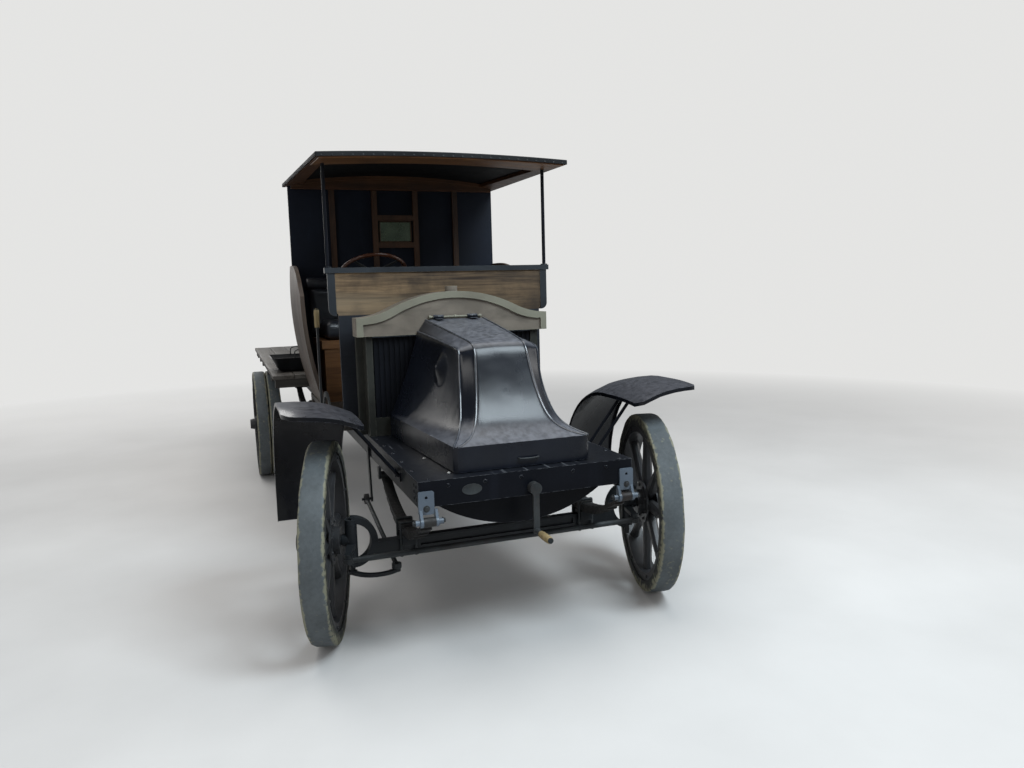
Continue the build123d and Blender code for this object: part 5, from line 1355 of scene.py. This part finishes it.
# %% [markdown]
# The tray on the bed is black sheet metal with flaring sides, folded from one piece. It is made in the order
# of a tinsmith: a cube's foot is drawn in, its top is taken off and its corners are rounded, and only then
# does the sheet get its thickness. The open edge is rolled over a wire, which is a copy of that edge.

# %% Tray
TRAY_BASE_X, TRAY_BASE_Y, TRAY_WIRE = 0.300, 0.360, 0.0035


def fold_tray():
    """The tray's sheet, without its thickness."""
    size = TRAY_HIGH - TRAY_LOW - Vector((2 * TRAY_WIRE, 2 * TRAY_WIRE, TRAY_WIRE))
    middle = (TRAY_LOW + TRAY_HIGH) / 2
    piece = begin("cube", "tray_sheet", size=1, location=middle - Vector((0, 0, TRAY_WIRE / 2)), scale=size)
    edit(piece)
    pick("FACE", lambda f, m: m.z < TRAY_LOW.z + 0.001)
    bpy.ops.transform.resize(value=(TRAY_BASE_X / size.x, TRAY_BASE_Y / size.y, 1), center_override=middle)
    pick("FACE", lambda f, m: m.z > TRAY_HIGH.z - 0.01)
    bpy.ops.mesh.delete(type="FACE")
    pick("EDGE", lambda e, m: TRAY_LOW.z + 0.02 < m.z < TRAY_HIGH.z - 0.02)
    bpy.ops.mesh.bevel(offset=0.030, segments=5)
    pick("EDGE", lambda e, m: m.z < TRAY_LOW.z + 0.001 and not e.is_boundary)
    bpy.ops.mesh.bevel(offset=0.010, segments=3)
    outward(piece)
    return piece


tray = fold_tray()
tray_rim = line_of(tray, "tray_rim", lambda e, m: e.is_boundary, 0.0034)
modify(tray, "SOLIDIFY", thickness=0.0016, offset=-1)
settle(tray, TRAY_BLACK, "chassis", "tray_paint", "stowage_tray", angle=40)
settle(tray_rim, TRAY_BLACK, "chassis", "tray_paint")

# %% [markdown]
# The steering wheel has a wooden rim on four iron arms. A torus is pressed to an oval and given finger hollows
# on its underside. One arm is a cube that tapers towards the rim, copied four times about the hub. All of it
# is made flat at the origin, where the rules are simple, and is stood on the column at the end.

# %% Steering wheel
WHEEL_PLACE = Vector((0.920, -0.288, 1.673))
WHEEL_WAY = Vector((-cos(radians(59)), 0, sin(radians(59))))
RIM_REACH, HOLLOWS = 0.197, 36
HUB_OUTLINE = [(0, 0.012), (0.010, 0.012), (0.013, 0.009), (0.026, 0.006), (0.030, 0.002), (0.030, -0.020),
               (0.024, -0.026), (0, -0.026)]


def hollow(place):
    """A point of the rim, drawn in where a finger rests underneath."""
    turn = atan2(place.y, place.x)
    depth = 0.0022 * (0.5 + 0.5 * cos(HOLLOWS * turn)) if place.z < -0.002 else 0.0
    return Vector((place.x, place.y, place.z * 0.92 + depth))


def make_spider():
    """Four tapering arms, the hub and its nut."""
    arm = begin("cube", "arm", size=1, location=(0.107, 0, -0.001), scale=(0.166, 0.024, 0.007))
    edit(arm)
    pick("FACE", lambda f, m: m.x > 0.18)
    bpy.ops.transform.resize(value=(1, 0.7, 0.8), center_override=(0.19, 0, -0.001))
    modify(arm, "BEVEL", width=0.0025, segments=2)
    pieces = [copy_of(arm, "arm", Matrix.Rotation(i * pi / 2 + pi / 4, 4, "Z")) for i in range(4)]
    pieces += [turned("hub", HUB_OUTLINE, 28), copy_of(BOLT_10, "hub_nut", Matrix.Translation((0, 0, 0.011)))]
    scrap(arm)
    return join(pieces, "steering_spider")


rim = begin("torus", "steering_rim", major_radius=RIM_REACH, minor_radius=0.0128, major_segments=144,
            minor_segments=14)
edit(rim, "SELECT")
move_points(hollow)
for piece, finish, slot in ((rim, RIM_WOOD, "rim_wood"), (make_spider(), IRON, "bare_iron")):
    piece.data.transform(facing(WHEEL_PLACE, WHEEL_WAY))
    settle(piece, finish, "steering_wheel", slot, "steering_wheel", angle=40)

# %% [markdown]
# Last come the small flat parts: the bead that holds the window, the light strip under the header tank, and
# the oval plate on the fascia, which stays blank. They are too small for a sculpted shape, but a rounded edge
# or a raised rim catches the light and tells the eye that they are separate pieces.

# %% Window bead, strip and plate
BEAD_X, BEAD_THICK, BEAD_WIDE = 0.279, 0.012, 0.010
WINDOW_HALF, WINDOW_LOW, WINDOW_HIGH = 0.116, 1.896, 2.047
PLATE_PLACE = Vector((FACE_X, -0.259, 0.735))
level = (BEAD_THICK, 2 * WINDOW_HALF, BEAD_WIDE)
upright = (BEAD_THICK, BEAD_WIDE, WINDOW_HIGH - WINDOW_LOW - 2 * BEAD_WIDE)
frame_bars = [((0, z), level) for z in (WINDOW_LOW + BEAD_WIDE / 2, WINDOW_HIGH - BEAD_WIDE / 2)]
frame_bars += [((side * (WINDOW_HALF - BEAD_WIDE / 2), (WINDOW_LOW + WINDOW_HIGH) / 2), upright)
               for side in BOTH]
beads = [bar("bead", (BEAD_X, *place), size, 0.004, 3) for place, size in frame_bars]
settle(join(beads, "window_bead"), BROWN_UPRIGHT, "chassis", "brown_wood")

strip = bar("core_strip", (1.6665, 0, 1.3175), (0.004, 0.896, 0.007), 0.0012)
settle(strip, PLATE_GREY, "chassis", "radiator_metal")

plate = begin("cylinder", "oval_plate", vertices=48, radius=0.5, depth=0.003, rotation=(0, pi / 2, 0),
              location=PLATE_PLACE + Vector((0.001, 0, 0)))
edit(plate, "SELECT")
bpy.ops.transform.resize(value=(1, 0.086, 0.046), center_override=PLATE_PLACE)
pick("FACE", lambda f, m: f.normal.x > 0.9)
bpy.ops.mesh.inset(thickness=0.003)
bpy.ops.mesh.inset(thickness=0.0015)
bpy.ops.transform.translate(value=(-0.001, 0, 0))
settle(plate, IRON, "chassis", "bare_iron")
scrap(BOLT_10, BOLT_7, RIVET_9, RIVET_5)
